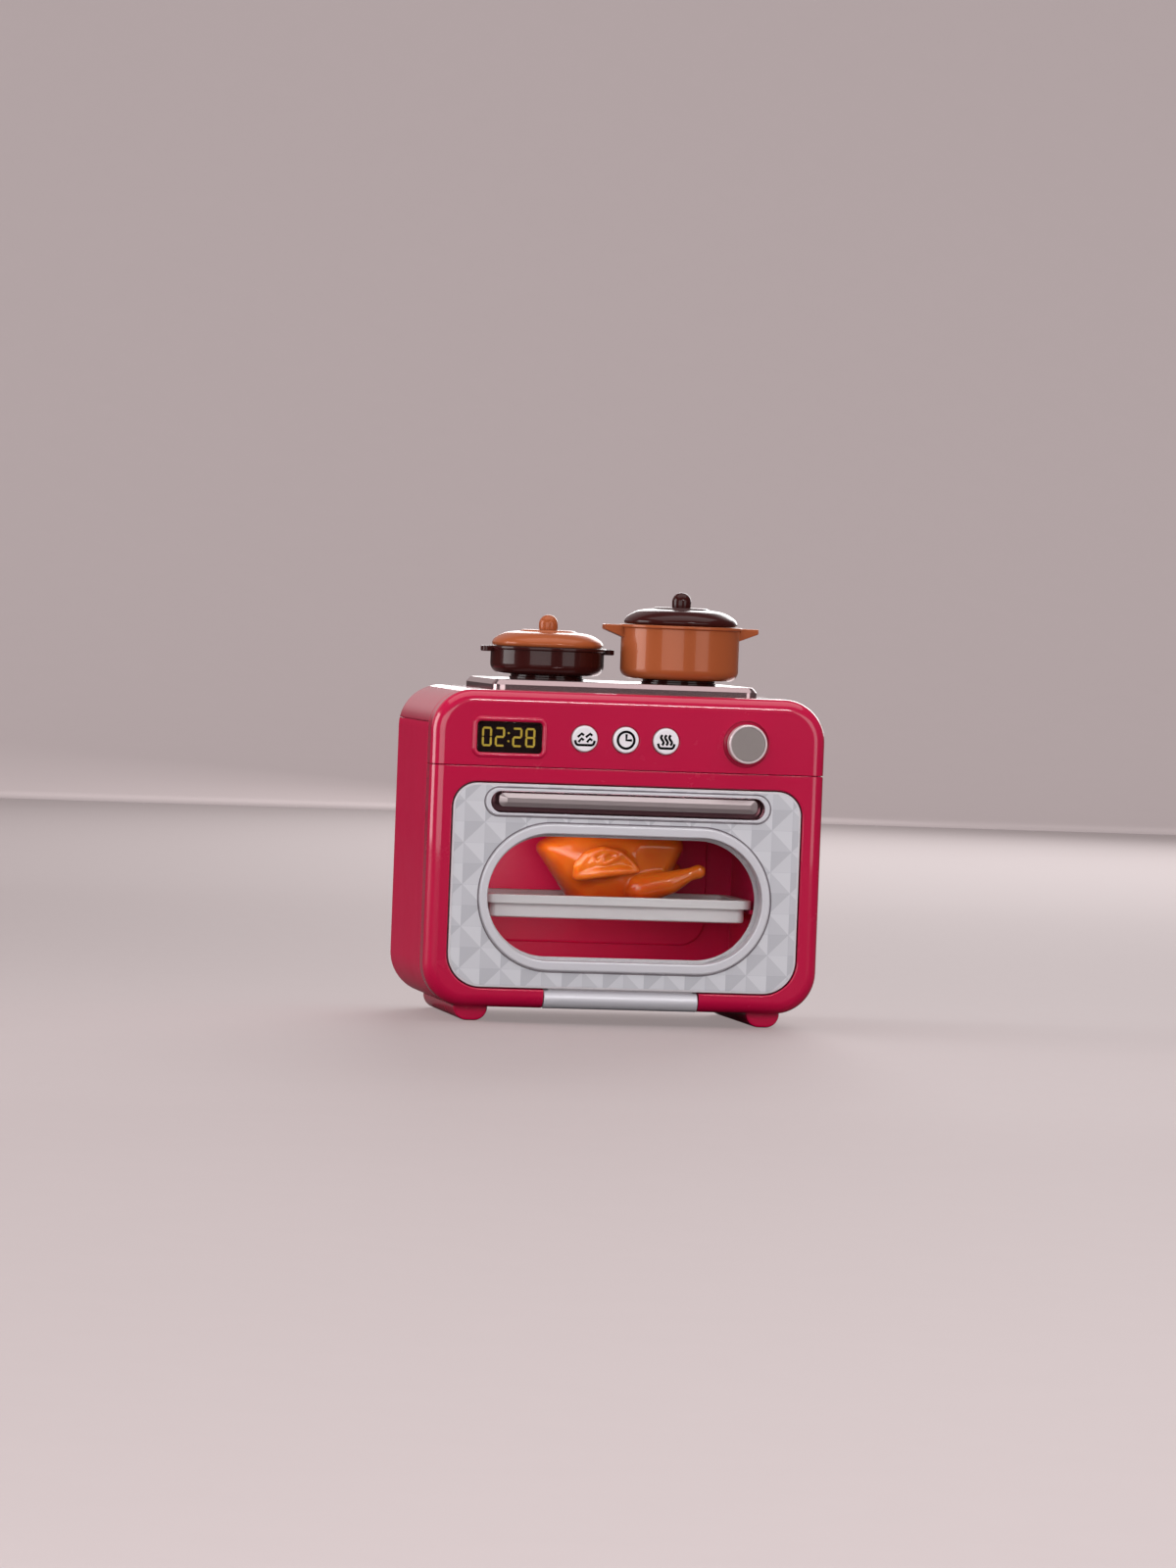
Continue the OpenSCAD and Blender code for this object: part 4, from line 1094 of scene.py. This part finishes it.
clay = bmesh.new()
for centre, radii in (((-26.5, 42, 70.5), (7, 13, 5)), ((27, 42, 73), (7, 14, 7)),
                      ((-14, 42, 74), (12, 14, 6.4)), ((10, 42, 73), (16, 18, 7.6)),
                      ((-8, 42, 50.5), (11, 14, 8)), ((12, 42, 51), (12, 15, 8.6)),
                      ((0, 42, 62), (24, 18.6, 9))):
    lump(clay, centre, radii)
hull = bmesh.ops.convex_hull(clay, input=clay.verts)
bmesh.ops.delete(clay, geom=list({v for v in hull["geom_interior"] if isinstance(v, bmesh.types.BMVert)}),
                 context="VERTS")
bmesh.ops.recalc_face_normals(clay, faces=clay.faces)
limb(clay, [(12, 27, 53.5, 7.0), (25, 25, 57.0, 5.4), (34.5, 24.5, 61.2, 3.0), (38.4, 24.4, 62.5, 3.4)])
limb(clay, [(12, 57, 53.5, 7.0), (26, 58, 57.5, 5.6), (34.0, 58.5, 61.5, 3.3)])
# the wing: a flat leaf on the near side, with feather ridges
lump(clay, (-5, 23.6, 65.2), (13.4, 2.8, 6.2), -4)
limb(clay, [(-18, 24.0, 58.8, 2.2), (-17.4, 22.4, 63.4, 2.6), (-14, 21.6, 68.4, 2.3), (-7, 21.2, 71.4, 2.0),
            (1, 21.6, 70.2, 1.7), (9.6, 22.8, 63.0, 1.3)], 12)
limb(clay, [(-17.5, 23.2, 59.0, 2.6), (-9, 20.8, 60.6, 2.7), (1, 20.9, 61.8, 2.2), (10, 22.6, 62.0, 1.3)], 12)
for top_x, top_z in ((-10.5, 69.6), (-4.6, 70.2), (1.0, 68.6)):
    limb(clay, [(-15.0, 21.4, 62.5, 1.1), ((top_x - 15) / 2 + 1.2, 20.2, (top_z + 62.5) / 2 - 0.4, 1.15),
                (top_x, 20.6, top_z, 0.9)], 10)
mesh = bpy.data.meshes.new("clay")
clay.to_mesh(mesh)
clay.free()
model = new_object("clay", mesh)
melt = model.modifiers.new("melt", "REMESH")
melt.mode, melt.voxel_size = "VOXEL", 0.6
roast_bm = bmesh.new()
roast_bm.from_object(model, bpy.context.evaluated_depsgraph_get())
bpy.data.objects.remove(model)
bpy.data.meshes.remove(mesh)
for _ in range(9):
    bmesh.ops.smooth_vert(roast_bm, verts=roast_bm.verts, factor=0.5, use_axis_x=True, use_axis_y=True,
                          use_axis_z=True)
for v in roast_bm.verts:
    v.co.z = max(v.co.z, 42.3)
finish(roast_bm, "roast_glazed", "roast", roast_skin, "roast_plastic", replaces=["roast"], even=False)

# %% [markdown]
# ## Dress the CAD pieces that stay
# Screws, springs, boards, cells and other inside pieces keep their CAD shape
# and only take a finish.

# %% Finishes for the CAD pieces
DRESS = {
    "pink_plastic": (pink, "base_plate tray_rails battery_door"),
    "board_green": (board, "control_board lamp_board"),
    "black_plastic": (black, "button_switches battery_box"),
    "steel": (steel, "click_spring speaker_basket contact_plates battery_screw back_screws base_screws "
                     "catch_magnet hinge_pins door_screws"),
    "lamp_orange": (amber, "lamp_lens"),
    "speaker_paper": (cone_paper, "speaker_cone"),
    "cell_wrap": (wrap, "cell_left cell_middle cell_right"),
    "white_plastic": (white_gloss, "door_back"),
    "clear_pane": (pane, "window_pane"),
    "shaft_white": (shaft_white, "knob_shaft click_wheel"),
}
dressed = set()
for slot, (material, names) in DRESS.items():
    for name in names.split():
        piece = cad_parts[name]
        piece.data.materials.clear()
        piece.data.materials.append(material)
        dressed.add(name)
shown = [n for n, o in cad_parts.items() if not o.hide_render]
print("CAD pieces shown:", len(shown), "without a finish:", sorted(set(shown) - dressed))

# %% [markdown]
# ## Room, lamps and camera
# The toy stands on a pale floor that bends up into the backdrop. The camera
# sees that wall pale. Glossy pieces mirror a dim room and the wall's bright
# upper part. Small lamps in the oven's mouth light only the cavity and roast.

# %% Floor
PALE = linear(182, 168, 168)
floor_bm = bmesh.new()
path = [floor_bm.verts.new((-5, y, z)) for y, z in ((-4.5, 0), (4.2, 0), (4.2, 4.5))]
for a, b in zip(path, path[1:]):
    floor_bm.edges.new((a, b))
bevel(floor_bm, [path[1]], 1.6, 24, "VERTICES")
swept = bmesh.ops.extrude_edge_only(floor_bm, edges=floor_bm.edges[:])
moved = [g for g in swept["geom"] if isinstance(g, bmesh.types.BMVert)]
bmesh.ops.translate(floor_bm, vec=(10, 0, 0), verts=moved)
floor_mesh = bpy.data.meshes.new("floor")
floor_bm.to_mesh(floor_mesh)
floor_bm.free()
floor_mesh.shade_smooth()
floor = new_object("floor", floor_mesh)
floor_paint, shader = new_material("floor_paint", PALE, 0.8)
tree = floor_paint.node_tree
speckle = noise(tree, 40, 4, 0.6)
tint = node(tree, "ShaderNodeHueSaturation")
preset(tint, {"Color": (*[0.6 * c for c in PALE], 1)})
tree.links.new(tint.outputs["Color"], shader.inputs["Base Color"])
preset(shader, {"Emission Color": (*PALE, 1)})
rays = node(tree, "ShaderNodeLightPath")
seen = math_node(tree, "MAXIMUM", rays.outputs["Is Camera Ray"], rays.outputs["Is Transmission Ray"])
bend = node(tree, "ShaderNodeMapRange", interpolation_type="SMOOTHSTEP")
preset(bend, {"From Min": 0.3, "From Max": 0.7})
tree.links.new(axes(tree)["Z"], bend.inputs["Value"])
direct = math_node(tree, "MULTIPLY", seen, 0.57)
mirrored = math_node(tree, "MULTIPLY", rays.outputs["Is Glossy Ray"], bend.outputs["Result"])
tree.links.new(math_node(tree, "MULTIPLY_ADD", mirrored, 0.9, direct), shader.inputs["Emission Strength"])
dim = math_node(tree, "MULTIPLY_ADD", rays.outputs["Is Glossy Ray"], -0.7, 1.0)
grain = math_node(tree, "MULTIPLY_ADD", speckle, 0.05, 0.975)
tree.links.new(math_node(tree, "MULTIPLY", grain, dim), tint.inputs["Value"])
floor_mesh.materials.append(floor_paint)

# %% Room light
world = bpy.data.worlds.new("room")
bpy.context.scene.world = world
world.use_nodes = True
tree = world.node_tree
background = tree.nodes["Background"]
rays = node(tree, "ShaderNodeLightPath")
seen = math_node(tree, "MAXIMUM", rays.outputs["Is Camera Ray"], rays.outputs["Is Transmission Ray"])
room = mix_colour(tree, rays.outputs["Is Glossy Ray"], (0.62, 0.60, 0.61), (0.09, 0.075, 0.08))
tree.links.new(mix_colour(tree, seen, room, PALE), background.inputs["Color"])
preset(background, {"Strength": 1.0})


def lamp(name, place, aim, size, watts, colour=(1, 1, 1)):
    data = bpy.data.lights.new(name, "AREA")
    data.shape, data.size, data.size_y = "RECTANGLE", *size
    data.energy, data.color = watts, colour
    made = new_object(name, data)
    made.location = place
    made.visible_camera = False
    made.rotation_euler = (Vector(aim) - Vector(place)).to_track_quat("-Z", "Y").to_euler()
    return made


TOY_MIDDLE = (0, 0, 0.1)
for name, place, size, watts in (
        ("overhead", (0.0, -0.1, 1.6), (2.4, 1.4), 15),
        ("box_left", (-0.80, -1.75, 0.20), (1.5, 1.3), 15.5),
        ("box_right", (1.05, -1.60, 0.20), (0.9, 1.3), 8.0),
        ("back_soft", (0.9, 2.4, 0.8), (1.4, 1.2), 20),
        ("side_left", (-2.0, 0.2, 0.50), (1.1, 1.3), 25),
        ("top_strip", (0.34, -1.6, 0.95), (0.50, 0.12), 6.5)):
    lamp(name, place, TOY_MIDDLE, size, watts)


def inside_lamp(name, place, aim, size, watts, *lit):
    """A lamp in the oven's mouth that lights only the named pieces."""
    made = lamp(name, place, aim, size, watts, (1.0, 0.96, 0.95))
    pieces = bpy.data.collections.new(name + "_lit")
    for piece in lit:
        pieces.objects.link(bpy.data.objects[piece])
    made.light_linking.receiver_collection = pieces


CAVITY_SKINS = ("cavity_back_skin", "cavity_liner_skin")
inside_lamp("oven_high", spot(-42, 9.7, 62), spot(-6, 73, 56), (0.04, 0.04), 0.026, *CAVITY_SKINS)
inside_lamp("oven_low", spot(-30, 9.7, 27), spot(0, 73, 26), (0.07, 0.02), 0.011, *CAVITY_SKINS)
inside_lamp("roast_lamp", spot(-26, 9.7, 72), spot(2, 45, 60), (0.06, 0.02), 0.012, "roast_glazed")

# %% Camera
CAMERA_PLACE, CAMERA_TURN, LENS = (-0.5712, -2.9337, 0.1949), (88.038, -2.191, -11.044), 150.76
camera_data = bpy.data.cameras.new("camera")
camera_data.lens, camera_data.sensor_width, camera_data.sensor_fit = LENS, 36, "AUTO"
camera_data.shift_x, camera_data.shift_y = -0.02, 0.02
camera_data.clip_start = 0.05
camera = new_object("camera", camera_data)
camera.location = CAMERA_PLACE
camera.rotation_euler = tuple(math.radians(a) for a in CAMERA_TURN)
bpy.context.scene.camera = camera
bpy.context.scene.view_settings.view_transform = "Standard"
print("camera looks from", tuple(round(c, 3) for c in camera.location))

# %% [markdown]
# Last, the view layer is updated.

# %% Update the view layer
bpy.context.view_layer.update()
